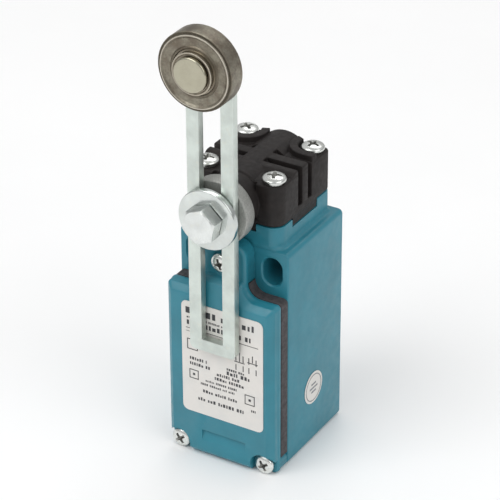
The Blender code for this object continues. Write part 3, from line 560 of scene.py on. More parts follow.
def zinc_plate(name, along, tint=(0.64, 0.69, 0.665), roughness=(0.26, 0.44)):
    """Bright zinc plate: cloudy passivation, a drawn grain along one axis, stray scratches."""
    s = Shader(name, tint, 0.34, 1.0)
    scale = [1.0, 1.0, 1.0]
    scale["XYZ".index(along)] = 0.04
    grain = s.noise(0.10, 2, coord=s.stretched(scale))
    clouds = s.noise(4.5, 5)
    tone = s.mix(s.ramp(clouds, 0.35, 0.65), scaled(tint, 0.90), scaled(tint, 1.10))
    warm = s.mix(s.ramp(s.noise(1.4, 4), 0.55, 0.75, 0.0, 0.35), tone, (0.70, 0.69, 0.60))
    # The paler colour along the edges is a painted highlight.
    s.color(s.mix(s.math("MULTIPLY", s.edges(0.2), 0.5), warm, (0.80, 0.82, 0.80)))
    s.rough(s.ramp(s.math("ADD", s.math("MULTIPLY", grain, 0.6), s.math("MULTIPLY", clouds, 0.4)),
                   0.35, 0.65, *roughness))
    s.bump(grain, 0.005, 0.35)
    return s.done()


def rough_zinc():
    """Grey cast zinc: coarse grain, dull, with brighter high spots."""
    base = (0.37, 0.375, 0.355)
    s = Shader("rough_cast_zinc", base, 0.55, 0.85)
    grain = s.noise(0.32, 5, 0.6)
    tone = s.mix(s.ramp(grain, 0.36, 0.64), scaled(base, 0.78), scaled(base, 1.2))
    s.color(s.mix(s.ramp(s.noise(3.0, 3), 0.4, 0.7, 0.0, 0.5), tone, scaled(base, 0.85)))
    s.rough(s.ramp(grain, 0.3, 0.7, 0.66, 0.46))
    s.bump(grain, 0.045, 0.7)
    s.bump(s.noise(0.13, 3), 0.012, 0.5)
    return s.done()


def radius_from_axis(s, height):
    """Distance from a line along Y at this height, in metres."""
    shifted = s.vector_math("SUBTRACT", s.coord, (0.0, 0.0, height * MM))["Vector"]
    flat = s.vector_math("MULTIPLY", shifted, (1.0, 0.0, 1.0))["Vector"]
    return s.vector_math("LENGTH", flat)["Value"]


def turned_steel(name, base, height, roughness, blotch=1.0, bands=()):
    """Turned and oiled steel: rings about the axis, brown and violet mottling, and a pale painted highlight
    along the edges.

    bands lists (inner radius, outer radius, colour, strength) in millimetres, painted in that order.
    """
    s = Shader(name, base, sum(roughness) / 2, 1.0)
    radius = radius_from_axis(s, height)
    ring_coord = s.node("ShaderNodeCombineXYZ", {0: radius}).outputs["Vector"]
    rings = s.noise(0.16, 3, coord=ring_coord)
    cloud = s.noise(3.0, 5, 0.6)
    fine = s.noise(0.45, 5, 0.6)
    tone = s.mix(s.ramp(cloud, 0.40, 0.62, 0.0, blotch), scaled(base, 1.12), (0.17, 0.138, 0.105))
    tone = s.mix(s.ramp(s.noise(2.0, 4), 0.52, 0.66, 0.0, 0.4 * blotch), tone, (0.19, 0.160, 0.135))
    tone = s.mix(s.ramp(fine, 0.42, 0.68, 0.0, 0.55 * blotch), tone, scaled(base, 0.5))
    for inner, outer, color, strength in bands:
        inside = s.ramp(radius, (inner - 0.06) * MM, (inner + 0.06) * MM)
        outside = s.ramp(radius, (outer - 0.06) * MM, (outer + 0.06) * MM, strength, 0.0)
        tone = s.mix(s.math("MULTIPLY", inside, outside), tone, color)
    # The paler colour along the edges is a painted highlight.
    s.color(s.mix(s.math("MULTIPLY", s.edges(0.14), 0.6), tone, scaled(base, 2.4)))
    s.rough(s.ramp(s.math("ADD", s.math("MULTIPLY", fine, 0.5), s.math("MULTIPLY", rings, 0.5)),
                   0.35, 0.65, *roughness))
    s.bump(rings, 0.005, 0.4)
    s.bump(fine, 0.010 * blotch, 0.35)
    return s.done()


def rubber():
    base = (0.055, 0.050, 0.053)
    s = Shader("gasket_rubber", base, 0.75)
    s.color(s.mottle(base, 1.5, 4, 0.75, 1.4))
    s.rough_between(0.6, 3, 0.66, 0.86)
    s.bump(s.noise(0.25, 3), 0.02, 0.5)
    return s.done()


def label_film():
    """Off-white satin film with a slight cockle and handling marks."""
    base = (0.74, 0.715, 0.68)
    s = Shader("label_film", base, 0.42)
    marks = s.ramp(s.noise(5.0, 6), 0.45, 0.75, 0.0, 0.5)
    s.color(s.mix(marks, base, (0.62, 0.63, 0.62)))
    s.rough_between(3.0, 4, 0.36, 0.5)
    s.bump(s.noise(3.0, 2), 0.02, 0.25)
    s.bump(s.noise(0.15, 2), 0.004, 0.3)
    return s.done()


def print_ink(name, color):
    s = Shader(name, color, 0.5)
    s.color(s.mottle(color, 0.5, 3, 0.85, 1.3))
    s.rough_between(0.8, 2, 0.42, 0.58)
    return s.done()


def moulded(name, base, roughness):
    """Moulded plastic: fine spark-eroded texture and slight flow marks."""
    s = Shader(name, base, roughness)
    flow = s.noise(2.5, 4, coord=s.stretched([1.0, 1.0, 0.35]))
    s.color(s.mix(s.ramp(flow, 0.35, 0.65), scaled(base, 0.88), scaled(base, 1.12)))
    s.rough_between(0.7, 3, roughness - 0.06, roughness + 0.08)
    s.bump(s.noise(0.14, 2), 0.008, 0.5)
    return s.done()


def metal(name, base, roughness, grain_mm=0.3):
    """Plain metal for the inner pieces: tarnish, grain, and a painted highlight along the edges."""
    s = Shader(name, base, roughness, 1.0)
    tarnish = s.noise(1.6, 5)
    tone = s.mix(s.ramp(tarnish, 0.35, 0.7), scaled(base, 1.1), scaled(base, 0.72))
    # The paler colour along the edges is a painted highlight.
    s.color(s.mix(s.math("MULTIPLY", s.edges(0.12), 0.5), tone, scaled(base, 1.5)))
    s.rough(s.ramp(tarnish, 0.3, 0.7, roughness - 0.07, roughness + 0.12))
    s.bump(s.noise(grain_mm, 4), 0.01, 0.5)
    return s.done()


MATS = {
    "teal": teal_paint(),
    "black": black_casting(),
    "lever": zinc_plate("zinc_lever", "Z", (0.635, 0.69, 0.65), (0.36, 0.52)),
    "washer": zinc_plate("zinc_washer", "X", (0.65, 0.685, 0.665), (0.12, 0.26)),
    "bolt": zinc_plate("zinc_bolt", "Z", (0.69, 0.715, 0.70), (0.16, 0.30)),
    "screw": zinc_plate("zinc_screw", "X", (0.76, 0.775, 0.75), (0.20, 0.32)),
    # The screws' cross recesses get this darker grey: painted shade.
    "recess": metal("screw_recess_shade", (0.36, 0.36, 0.34), 0.45),
    "hub": rough_zinc(),
    # Roller bands: the darker rings round the bore and on the shelf behind the lip are painted shade; the
    # pale ring on the lip's edge is a painted highlight.
    "roller": turned_steel(
        "roller_steel", (0.27, 0.25, 0.20), ROLLER_Z, (0.38, 0.54), 0.85,
        ((5.0, 6.4, (0.105, 0.085, 0.060), 0.6), (9.06, 9.62, (0.07, 0.06, 0.045), 0.85),
         (8.72, 8.98, (0.60, 0.56, 0.48), 0.9)),
    ),
    # Bushing band: the pale ring at the edge of its front face is a painted highlight.
    "bushing": turned_steel(
        "bushing_steel", (0.24, 0.21, 0.165), ROLLER_Z, (0.26, 0.40), 0.5,
        ((4.95, 5.25, (0.52, 0.48, 0.40), 0.8),),
    ),
    "pin": turned_steel("pin_steel", (0.40, 0.38, 0.295), ROLLER_Z, (0.20, 0.28), 0.12),
    "rubber": rubber(),
    "label": label_film(),
    "ink": print_ink("label_ink", (0.035, 0.035, 0.04)),
    "grey_ink": print_ink("sticker_ink", (0.22, 0.23, 0.24)),
    "bronze": metal("sintered_bronze", (0.48, 0.29, 0.13), 0.5, 0.2),
    "silver": metal("contact_silver", (0.72, 0.69, 0.63), 0.3),
    "spring": metal("spring_wire", (0.52, 0.52, 0.53), 0.28),
    "inner_zinc": metal("inner_zinc", (0.62, 0.65, 0.63), 0.33),
    "block": moulded("block_moulding", (0.055, 0.055, 0.06), 0.5),
    "carrier": moulded("carrier_moulding", (0.50, 0.06, 0.045), 0.45),
    "lid": moulded("lid_moulding", (0.50, 0.50, 0.47), 0.4),
}


# --- Body casting ---


def side_blocks(half, depth, proud, low, high):
    """Four blocks, one at the middle of each side of the head's square footprint."""
    reach = HEAD_HALF + proud
    inner = HEAD_HALF - depth
    blocks = []
    for sx, sy in ((1, 0), (-1, 0), (0, 1), (0, -1)):
        x = sorted((sx * inner, sx * reach)) if sx else (-half, half)
        y = sorted((sy * inner, sy * reach)) if sy else (-half, half)
        blocks.append(block("side_block", (x[0], HEAD_Y + y[0], low), (x[1], HEAD_Y + y[1], high)))
    return blocks


def head_square(inset=0.0):
    """The head's footprint: round screw columns in front, tighter corners at the rear."""
    half = HEAD_HALF - inset
    front, rear = HEAD_Y - half, HEAD_Y + half
    corners = [(half, front, HEAD_CORNER - inset), (half, rear, HEAD_REAR_CORNER - inset)]
    return rounded(mirrored(corners), 10)


def head_screw_places():
    return [(sx * HEAD_SCREW, HEAD_Y + sy * HEAD_SCREW) for sx in (-1, 1) for sy in (-1, 1)]


def cover_screw_places():
    return [(-COVER_SCREW_X, COVER_SCREW_Z), (COVER_SCREW_X, COVER_SCREW_Z), (0, NECK_SCREW_Z)]


def pedestal():
    """The square the head stands on, with a fillet all round it down to the ledge."""
    sections = [(LEDGE - 2, head_square(-COVE))]
    for degrees in range(0, 90, 10):
        a = math.radians(degrees)
        sections.append((LEDGE - 0.03 + COVE * (1 - math.cos(a)), head_square(-COVE * (1 - math.sin(a)))))
    sections += [
        (LEDGE + COVE, head_square()), (PEDESTAL_TOP - 0.2, head_square()),
        (PEDESTAL_TOP - 0.06, head_square(0.06)), (PEDESTAL_TOP, head_square(0.2)),
    ]
    solid = loft("pedestal", "Z", sections)
    half = HEAD_HALF + COVE + 1
    front = (-half, BODY_FRONT - 3, LEDGE - 3), (half, PEDESTAL_FRONT, PEDESTAL_TOP + 1)
    cut(solid, block("front_trim", *front))
    cut(solid, block("rear_trim", (-half, -0.5, LEDGE - 3), (half, 2, PEDESTAL_TOP + 1)))
    return bevel(solid, 0.12, 2, 60)


def housing():
    corners = [(BODY_HALF, BODY_BOTTOM, FOOT_CORNER), (BODY_HALF, LEDGE, EAR_CORNER)]
    body = plate("housing", "Y", [rounded(mirrored(corners))], BODY_FRONT, 0.0)
    bevel(body, 0.45, 4, 60)
    join(body, pedestal())
    cut(body, *side_blocks(TAB_HALF + 0.25, TAB_DEPTH + 0.3, 1.0, TAB_BOTTOM - 0.2, PEDESTAL_TOP + 1))
    cut(body, cavity())
    for side in (-1, 1):
        x = side * SLOT_X
        cut(body, plate("slot", "Y", [slot_outline(x)], BODY_FRONT - 1, 1))
        cut(body, slot_chamfer(x))
        place = (side * COVER_SCREW_X, COVER_SCREW_Z)
        cut(body, rod("hole", "Y", place, TAPPED_FROM, -18, TAPPED_R, 32))
    cut(body, rod("hole", "Y", (0, NECK_SCREW_Z), TAPPED_FROM, -20.5, TAPPED_R, 32))
    cut(body, conduit_thread())
    cut(body, rod("guide", "Z", PLUNGER_AXIS, CAVITY_TOP - 1, PEDESTAL_TOP + 1, PLUNGER_GUIDE_R, 40))
    cut(body, rod("spring_bore", "Z", PLUNGER_AXIS, SPRING_SEAT, PEDESTAL_TOP + 1, SPRING_BORE_R, 48))
    weld = body.modifiers.new("Weld", "WELD")
    weld.merge_threshold = 0.003 * MM
    finished(body, "base", "teal", "housing")


def slot_outline(x, grow=0.0):
    half, tall = SLOT_HALF + grow, SLOT_TALL + grow
    return box_outline(x - half, -tall, x + half, tall, half * 0.97, 12)


def slot_chamfer(x):
    """The slight countersink round a mounting slot's front end."""
    sections = [(BODY_FRONT - 0.4, slot_outline(x, 0.75)), (BODY_FRONT + 0.5, slot_outline(x, -0.15))]
    return loft("slot_chamfer", "Y", sections)


def cavity():
    """The space inside, with a post for a cover screw left standing in each lower corner."""
    post = 8.4
    step = CAVITY_BOTTOM + 3
    corners = [
        (post, CAVITY_BOTTOM, 1), (post, step, 0.8), (CAVITY_HALF, step, 1), (CAVITY_HALF, CAVITY_TOP, 1),
    ]
    return plate("cavity", "Y", [rounded(mirrored(corners), 4)], BODY_FRONT - 1, CAVITY_BACK)


def conduit_thread():
    """The tapped bottom entry: a bore with rings at the thread's pitch, and a chamfered mouth."""
    profile = [(BODY_BOTTOM - 1, 0.0), (BODY_BOTTOM - 1, CONDUIT_R + 1.9), (BODY_BOTTOM + 0.9, CONDUIT_R)]
    z = BODY_BOTTOM + 1.1
    while z < CAVITY_BOTTOM - 0.2:
        profile += [(z + 0.55, CONDUIT_R + THREAD_DEPTH), (z + 0.75, CONDUIT_R + THREAD_DEPTH)]
        profile += [(z + 1.3, CONDUIT_R)]
        z += THREAD_PITCH
    profile += [(CAVITY_BOTTOM + 1.5, CONDUIT_R), (CAVITY_BOTTOM + 1.5, 0.0)]
    return turned("thread", "Z", (0, CONDUIT_Y), profile, 80)


# --- Cover, gasket, label ---


def shoulder_outline(inset, top, top_radius, corner=1.1, hollow=3.2):
    """The cover's outline: a full-width panel that runs up into a narrow neck."""
    half = BODY_HALF - inset
    neck = NECK_HALF - inset
    shoulder = SHOULDER - inset
    corners = [
        (half, BODY_BOTTOM + inset, corner), (half, shoulder, corner),
        (neck, shoulder, hollow), (neck, top, top_radius),
    ]
    return rounded(mirrored(corners))


def cover_panel():
    """The raised panel: a narrow flat side, a broad sloping rim, and a crease round the flat front."""
    front = COVER_FRONT
    steps = (
        (COVER_BACK - 0.6, 0.12, 0.0, 1.1, 0.0), (front + 1.65, 0.12, 0.3, 1.1, 0.0),
        (front + 1.45, 0.17, 0.4, 1.05, 0.1), (front + 1.28, 0.30, 0.5, 0.95, 0.2),
        (front + 0.12, 1.58, 1.2, 0.45, 0.95), (front + 0.03, 1.72, 1.3, 0.42, 1.0),
        (front, 1.90, 1.45, 0.38, 1.1),
    )
    sections = [
        (place, shoulder_outline(inset, NECK_STEP - lower, corner, corner, 3.2 + widen))
        for place, inset, lower, corner, widen in steps
    ]
    return loft("panel", "Y", sections)


def cover():
    lower = plate("cover", "Y", [shoulder_outline(0, NECK_TOP, NECK_CORNER)], NECK_FRONT, COVER_BACK)
    bevel(lower, 0.8, 4, 60)
    join(lower, cover_panel())
    wide = NECK_HALF - SKIRT_INSET
    high = NECK_TOP - SKIRT_INSET
    skirt = rounded(mirrored([(wide, SHOULDER + 3.3, 0), (wide, high, NECK_CORNER)]))
    join(lower, plate("skirt", "Y", [skirt], COVER_BACK - 1.0, BODY_FRONT - 0.3))
    for side in (-1, 1):
        x = sorted((side * (BODY_HALF - 4.9), side * (BODY_HALF - SKIRT_INSET)))
        outline = box_outline(x[0], BODY_BOTTOM + SKIRT_INSET, x[1], BODY_BOTTOM + 3.5, 1.0)
        join(lower, plate("lug", "Y", [outline], COVER_BACK - 1.0, BODY_FRONT - 0.3))
        cut(lower, screw_pocket(side))
    for x, z in cover_screw_places():
        cut(lower, rod("hole", "Y", (x, z), -36, -25, CLEARANCE_R, 40))
    place = (0, NECK_SCREW_Z)
    cut(lower, rod("counterbore", "Y", place, -36, NECK_SCREW_SEAT + 0.25, COVER_SCREW_R + 0.35, 64))
    cut(lower, tongue_recess())
    soften(lower, 0.1, 2)
    finished(lower, "base", "teal", "cover")


def screw_pocket(side):
    x, z = side * COVER_SCREW_X, COVER_SCREW_Z
    outline = arc((x, z), POCKET_R, 0, 180, 28)
    outline += [(x - POCKET_R, BODY_BOTTOM - 2), (x + POCKET_R, BODY_BOTTOM - 2)]
    return plate("pocket", "Y", [outline], COVER_FRONT - 1, LUG_FRONT)


def tongue_recess():
    """A shallow pry recess on the lower tongue. Its floor slopes in from the lower edge to the upper."""
    outside = COVER_FRONT - 1
    wedge = [
        (outside, -48.9), (COVER_FRONT - 0.02, -48.9), (COVER_FRONT + 0.15, -48.4),
        (COVER_FRONT + 0.9, -45.85), (COVER_FRONT + 0.8, -45.65), (outside, -45.5),
    ]
    return plate("tongue_recess", "X", [wedge], -5.0, 7.3)


# The lines of printing: distance from the left margin and from the top, height, length.
LABEL_LINES = (
    (0.0, 1.6, 1.7, 18.5), (0.3, 4.1, 0.55, 14.0), (0.3, 5.2, 1.25, 17.5), (11.4, 15.6, 0.6, 5.0),
    (11.4, 16.5, 1.0, 6.6), (1.0, 15.4, 0.8, 5.0), (1.0, 16.9, 0.8, 5.4), (8.6, 17.9, 0.8, 6.4),
    (8.0, 19.2, 0.8, 8.2), (5.4, 20.8, 0.6, 8.8), (4.0, 22.0, 0.6, 9.6), (4.6, 23.9, 0.8, 9.6),
    (3.2, 26.4, 0.9, 13.0), (18.2, 25.4, 0.6, 1.4),
)


def label_print():
    """Generic printing: rows of short blocks for text, a contact diagram and three dotted squares."""
    low, high = LABEL
    ink_back = low.y
    ink_front = ink_back - 0.03
    chance = random.Random(11)
    bars = []

    def bar(left, bottom, right, top):
        bars.append(((left, ink_front, bottom), (right, ink_back, top)))

    def line(left, top, height, length):
        """Short blocks in groups, as long as words, without forming letters."""
        x, group = left, chance.randint(3, 7)
        while x < left + length:
            width = height * chance.uniform(0.32, 0.75)
            drop = height * chance.choice((0.0, 0.0, 0.25))
            bar(x, top - height, x + width, top - drop)
            x += width + height * 0.32
            group -= 1
            if group == 0:
                x += height * 0.6
                group = chance.randint(3, 7)

    left, right, top = low.x + 1.2, high.x - 1.3, high.z
    for across, down, height, length in LABEL_LINES:
        line(left + across, top - down, height, length)
    bar(left, top - 7.5, right, top - 7.35)
    bar(left, top - 8.4, left + 9.0, top - 8.3)
    contact_diagram(bar, right - 6.3, top - 12.6)
    frame_box(bar, left + 0.3, top - 13.4, 3.0)
    frame_box(bar, left + 0.8, top - 21.6, 2.6)
    frame_box(bar, right - 3.8, top - 24.2, 2.8)
    bm = bmesh.new()
    for first, second in bars:
        centre = Vector([(a + b) / 2 for a, b in zip(first, second)]) * MM
        size = Vector([abs(b - a) for a, b in zip(first, second)]) * MM
        matrix = Matrix.Translation(centre) @ Matrix.Diagonal((*size, 1.0))
        bmesh.ops.create_cube(bm, size=1.0, matrix=matrix)
    obj = add_mesh("label_print", mesh_of("label_print", bm), (0, 0, 0), Matrix.Identity(3))
    finished(obj, "base", "ink", sharp=30)


def contact_diagram(bar, x, z):
    """Two switch symbols, drawn as terminal stubs with a bridging bar."""
    for left, lift in ((x, 0.0), (x + 3.6, 0.7)):
        for stub in (left, left + 2.0):
            bar(stub, z, stub + 0.25, z + 1.8)
            bar(stub, z - 2.6, stub + 0.25, z - 1.0)
        bar(left - 0.3, z - 0.35 + lift, left + 2.55, z - 0.12 + lift)
        bar(left + 1.0, z + lift, left + 1.25, z + 2.6)


def frame_box(bar, x, z, size):
    """A small square with a dot in it, where a label would carry an approval mark."""
    line, dot = 0.22, size * 0.38
    far = size - line
    for left, low, right, high in (
        (0, 0, size, line), (0, far, size, size), (0, 0, line, size), (far, 0, size, size),
        (dot, dot, size - dot, size - dot),
    ):
        bar(x + left, z + low, x + right, z + high)


def side_sticker():
    """The round film on the right side, with a ring and a plain emblem of three bars printed on it."""
    low, high = STICKER
    y, z = (low.y + high.y) / 2, (low.z + high.z) / 2
    face = high.x - 0.04
    film = rod("side_sticker", "X", (y, z), low.x, face, (high.z - low.z) / 2, 96)
    bevel(film, 0.05, 2, 60)
    finished(film, "base", "label", "side_sticker", 30)
    circles = [arc((y, z), radius, 0, 354, 59) for radius in STICKER_RING]
    ring = plate("sticker_ring", "X", circles, face - 0.01, high.x)
    for i, half in enumerate((1.1, 1.9, 1.1)):
        level = z + (1 - i) * 1.1
        join(ring, block("emblem", (face - 0.015, y - half, level - 0.24), (high.x, y + half, level + 0.24)))
    finished(ring, "base", "grey_ink", sharp=30)


# --- Head ---


def rib_slot(side, y, half):
    inner, shelf, edge, floor, above = 2.6, 19.7, 10.5, 13.8, HEAD_TOP + 3
    points = [
        (inner, above), (inner, HEAD_TOP + 0.3), (5.2, shelf), (edge - 0.6, shelf), (edge, shelf - 0.6),
        (edge, floor + 0.5), (edge + 0.5, floor), (14.0, floor), (14.0, above),
    ]
    outline = [(side * x, z) for x, z in points]
    if side < 0:
        outline.reverse()
    return plate("rib_slot", "Y", [outline], y - half, y + half)


def saddle():
    """The raised middle, right across the head, with its front sloping down to the screw columns."""
    low = HEAD_TOP - 1
    outline = [
        (-20.5, low), (-20.5, HEAD_TOP - 0.3), (-20.1, HEAD_TOP + 0.05), (-18.9, SADDLE_TOP - 0.15),
        (-18.4, SADDLE_TOP), (-11.6, SADDLE_TOP), (-11.6, low),
    ]
    reach = HEAD_HALF - 0.05
    return bevel(plate("saddle", "X", [outline], -reach, reach), 0.7, 4, 80)


def crescent(side):
    """A wall that starts behind a rear screw, passes its inner side and runs out to the side face."""
    x, y = side * HEAD_SCREW, HEAD_Y + HEAD_SCREW
    inner, outer, turn = 3.6, 5.65, 114
    edge = side * (HEAD_HALF - 0.05)
    first = 156 if side > 0 else 24
    outline = arc((x, y), outer, first, first + side * turn, 32)
    outline += [(edge, y - outer), (edge, y - inner)]
    outline += arc((x, y), inner, first + side * turn, first, 32)
    return bevel(plate("crescent", "Z", [outline], HEAD_TOP - 1, CRESCENT_TOP), 0.35, 3, 80)


def head_casing():
    head = plate("head_casing", "Z", [head_square()], HEAD_BOTTOM, HEAD_TOP)
    bevel(head, 0.45, 4, 60)
    front = HEAD_Y - HEAD_HALF
    recess = (-COLUMN_INNER, front - 1, HEAD_BOTTOM + 1.2), (COLUMN_INNER, front + 1, HEAD_TOP + 1)
    cut(head, block("front_recess", *recess))
    barrel = rod("barrel", "Y", SHAFT, front + 1.2, HEAD_Y + HEAD_HALF + 0.12, BARREL_R, 96)
    bevel(barrel, 0.4, 3, 60)
    cut(barrel, block("trim", (-9, -40, 5), (9, 10, HEAD_BOTTOM + 1)))
    boss = rod("bearing_boss", "Y", SHAFT, BOSS_FRONT, -24.5, BOSS_R, 80)
    bevel(boss, 0.3, 2, 60)
    join(head, barrel, boss, saddle())
    join(head, *side_blocks(TAB_HALF, TAB_DEPTH, -0.08, TAB_BOTTOM, HEAD_BOTTOM + 1))
    for side in (-1, 1):
        join(head, crescent(side))
        for y, half in RIB_SLOTS:
            cut(head, rib_slot(side, y, half))
    cut(head, rod("chamber", "Y", SHAFT, HEAD_Y - 5.3, HEAD_Y + 7.4, CAM_CHAMBER_R, 64))
    cut(head, rod("mouth", "Z", PLUNGER_AXIS, 5, SHAFT_Z - 3, PLUNGER_MOUTH_R, 64))
    cut(head, rod("front_bore", "Y", SHAFT, -33, HEAD_Y, BEARING_BORE_R, 64))
    cut(head, rod("rear_bore", "Y", SHAFT, HEAD_Y, -3.2, REAR_BORE_R, 40))
    for place in head_screw_places():
        cut(head, rod("hole", "Z", place, 5, 30, CLEARANCE_R, 32))
        cut(head, rod("counterbore", "Z", place, HEAD_TOP + 0.02, 30, HEAD_SCREW_R + 0.65, 64))
    soften(head, 0.2, 3)
    finished(head, "base", "black", "head_casing")


# --- Screws ---


def pan_screw(name, axis, centre, seat, out, head_r, head_h, length, turn):
    """A pan-head screw with a domed top and a cross recess turned by turn degrees."""
    top = seat + out * head_h
    tip = seat - out * (length + 0.9)
    dome = head_r * 0.36
    side = top - out * dome
    profile = [
        (side + out * dome * math.cos(math.radians(a)), head_r * math.sin(math.radians(a)) ** DOME_POWER)
        for a in range(0, 91, 10)
    ]
    profile += [
        (side - out * 0.28, head_r), (side - out * 0.5, head_r - 0.35),
        (seat, head_r - 0.35), (seat, SCREW_R), (seat - out * length, SCREW_R),
        (tip, SCREW_R * 0.35), (tip, 0.0),
    ]
    screw = turned(name, axis, centre, profile, 64)
    for quarter in (0, 90):
        cut(screw, recess_bar(axis, centre, top, out, head_r, turn + quarter))
    start = top - out * head_r * 0.66
    cut(screw, rod("core", axis, centre, start, top + out * 0.1, head_r * 0.10, 24, head_r * 0.30))
    soften(screw, 0.04, 2)
    piece = finished(screw, "base", "screw", name)
    paint_recess_shade(piece.data, axis, centre, side, out, head_r, dome)


def paint_recess_shade(mesh, axis, centre, side, out, head_r, dome):
    """Gives the darker material, a painted shade, to the faces of the cross, which lie under the dome's
    surface.
    """
    mesh.materials.append(MATS["recess"])
    along = "XYZ".index(axis)
    others = [i for i in range(3) if i != along]
    for face in mesh.polygons:
        point = face.center / MM
        radius = math.hypot(*(point[i] - c for i, c in zip(others, centre)))
        if radius < head_r * 0.7:
            height = (point[along] - side) * out
            lean = math.asin((radius / head_r) ** (1 / DOME_POWER))
            if -head_r * 0.4 < height < dome * math.cos(lean) - 0.07:
                face.material_index = 1


def recess_bar(axis, centre, top, out, head_r, turn):
    """One bar of the cross: deep in the middle, running out towards both ends."""
    long, thin = head_r * 0.66, head_r * 0.135
    cosine, sine = math.cos(math.radians(turn)), math.sin(math.radians(turn))

    def bar(half_long):
        corners = ((-half_long, -thin), (half_long, -thin), (half_long, thin), (-half_long, thin))
        return [(centre[0] + u * cosine - v * sine, centre[1] + u * sine + v * cosine) for u, v in corners]

    floor, mouth = top - out * head_r * 0.6, top + out * 0.1
    return loft("recess_bar", axis, [(floor, bar(long * 0.4)), (mouth, bar(long))])


def screws():
    seats = (LUG_FRONT - 0.1, LUG_FRONT - 0.1, NECK_SCREW_SEAT)
    turns = (38, 32, 20)
    for number, (place, seat, turn) in enumerate(zip(cover_screw_places(), seats, turns), 1):
        name = f"cover_screw_{number}"
        pan_screw(name, "Y", place, seat, -1, COVER_SCREW_R, COVER_SCREW_HEIGHT, 7.5, turn)
    seat = HEAD_TOP + 0.06
    height = HEAD_SCREW_TOP - seat
    for number, (place, turn) in enumerate(zip(head_screw_places(), (10, 55, 22, 78)), 1):
        pan_screw(f"head_screw_{number}", "Z", place, seat, 1, HEAD_SCREW_R, height, 13.9, turn)


# --- Hub, lever and clamp ---


def hub():
    rear, front = HUB[1].y, HUB[0].y
    profile = rounded_profile(
        [
            (rear, HUB_BORE_R, 0), (rear, HUB_R, 1), (front, HUB_R, 1), (front, CLAMP_HOLE_R, 0),
            (front + 1.0, CLAMP_HOLE_R, 0), (front + 1.0, HUB_BORE_R, 0),
        ],
        0.4,
    )
    piece = turned("hub", "Y", SHAFT, profile, 128)
    finished(piece, "shaft_assembly", "hub", "hub")


def lever_arm():
    low, high = LEVER
    top_r = LEVER_HALF * 0.995
    outline = rounded(mirrored([(LEVER_HALF, low.z, 1.4), (LEVER_HALF, high.z, top_r)]), 16)
    half = LEVER_SLOT_HALF
    slot = box_outline(-half, LEVER_SLOT_BOTTOM, half, LEVER_SLOT_TOP, 0.4, 5)
    hole = arc(ROLLER_AXIS, 2.6, 0, 352.5, 47)
    arm = plate("lever_arm", "Y", [outline, slot, hole], low.y, high.y)
    bevel(arm, 0.22, 3, 60)
    finished(arm, "lever", "lever", "lever_arm")


def clamp_washer():
    rear, front = WASHER[1].y, WASHER[0].y
    hole = CLAMP_HOLE_R
    corners = [(rear, hole, 0), (rear, WASHER_R, 1), (front, WASHER_R, 1), (front, hole, 0)]
    profile = rounded_profile(corners, 0.3, 4)
    piece = turned("clamp_washer", "Y", SHAFT, profile, 128)
    finished(piece, "shaft_assembly", "washer", "clamp_washer")


def clamp_bolt():
    """The hex bolt: sharp-edged flats, and a face chamfered only at its corners."""
    low, high = BOLT
    corner = BOLT_HALF_FLATS / math.cos(math.radians(30))
    hexagon = arc(SHAFT, corner, BOLT_TURN, BOLT_TURN + 300, 5)
    head = plate("clamp_bolt", "Y", [hexagon], low.y, BOLT_REAR)
    bevel(head, 0.14, 2, 50)
    form = turned(
        "bolt_form", "Y", SHAFT,
        [
            (BOLT_REAR + 0.5, 0.0), (BOLT_REAR + 0.5, 4.25), (BOLT_REAR - 0.1, 4.8), (low.y + 0.9, 5.5),
            (low.y + 0.04, 4.02), (low.y - 0.1, 3.8), (low.y - 0.1, 0.0),
        ],
        96,
    )
    boolean(head, form, "INTERSECT")
    join(head, rod("shank", "Y", SHAFT, BOLT_REAR - 1, high.y, 2.5, 48))
    finished(head, "shaft_assembly", "bolt", "clamp_bolt", 30)


# --- Roller ---


def roller():
    rear, front = ROLLER[1].y, ROLLER[0].y
    shelf = front + 0.4
    profile = rounded_profile(
        [
            (rear, ROLLER_BORE, 0), (rear, ROLLER_R - 0.5, 1), (rear - 0.5, ROLLER_R, 1),
            (shelf + 0.14, ROLLER_R, 0), (shelf, ROLLER_R - 0.14, 0), (shelf, ROLLER_LIP + 0.12, 0),
            (front, ROLLER_LIP, 1), (front, ROLLER_LIP - 0.38, 1), (front + 0.32, ROLLER_LIP - 0.8, 0),
            (front + 0.38, 6.35, 0), (front + 0.12, 6.05, 1), (front + 0.12, ROLLER_BORE, 1),
        ],
        0.08, 3,
    )
    piece = turned("roller", "Y", ROLLER_AXIS, profile, 160)
    finished(piece, "roller", "roller", "roller", 30)


def roller_bushing():
    rear, front = BUSHING[1].y, BUSHING[0].y
    outer = BUSHING[1].x
    step = ROLLER[0].y + 0.3
    profile = rounded_profile(
        [
            (rear, 3.3, 0), (rear, outer, 1), (step, outer, 1), (step, 5.2, 0), (front, 5.2, 1),
            (front, 4.75, 1), (front + 0.12, 4.6, 0), (front + 0.12, 3.3, 0),
        ],
        0.12, 3,
    )
    piece = turned("roller_bushing", "Y", ROLLER_AXIS, profile, 128)
    finished(piece, "lever", "bushing", "roller_bushing", 30)


def roller_pin():
    low, high = PIN
    under = BUSHING[0].y - 0.15
    front, soft = low.y, 0.42
    edge = [
        (front + soft * (1 - math.cos(math.radians(a))), PIN_HEAD_R - soft + soft * math.sin(math.radians(a)))
        for a in range(15, 91, 15)
    ]
    profile = [(front, 0.0), (front + 0.01, PIN_HEAD_R - soft - 0.3), *edge, (under, PIN_HEAD_R)]
    shoulder, peened = -37.4, high.y
    profile += [
        (under, 3.2), (shoulder, 3.2), (shoulder, 2.5), (peened - 0.5, 2.5), (peened - 0.5, 3.4),
        (peened - 0.3, 3.3), (peened - 0.08, 2.8), (peened, 1.8), (peened, 0.0),
    ]
    piece = turned("roller_pin", "Y", ROLLER_AXIS, profile, 128)
    finished(piece, "lever", "pin", "roller_pin", 32)


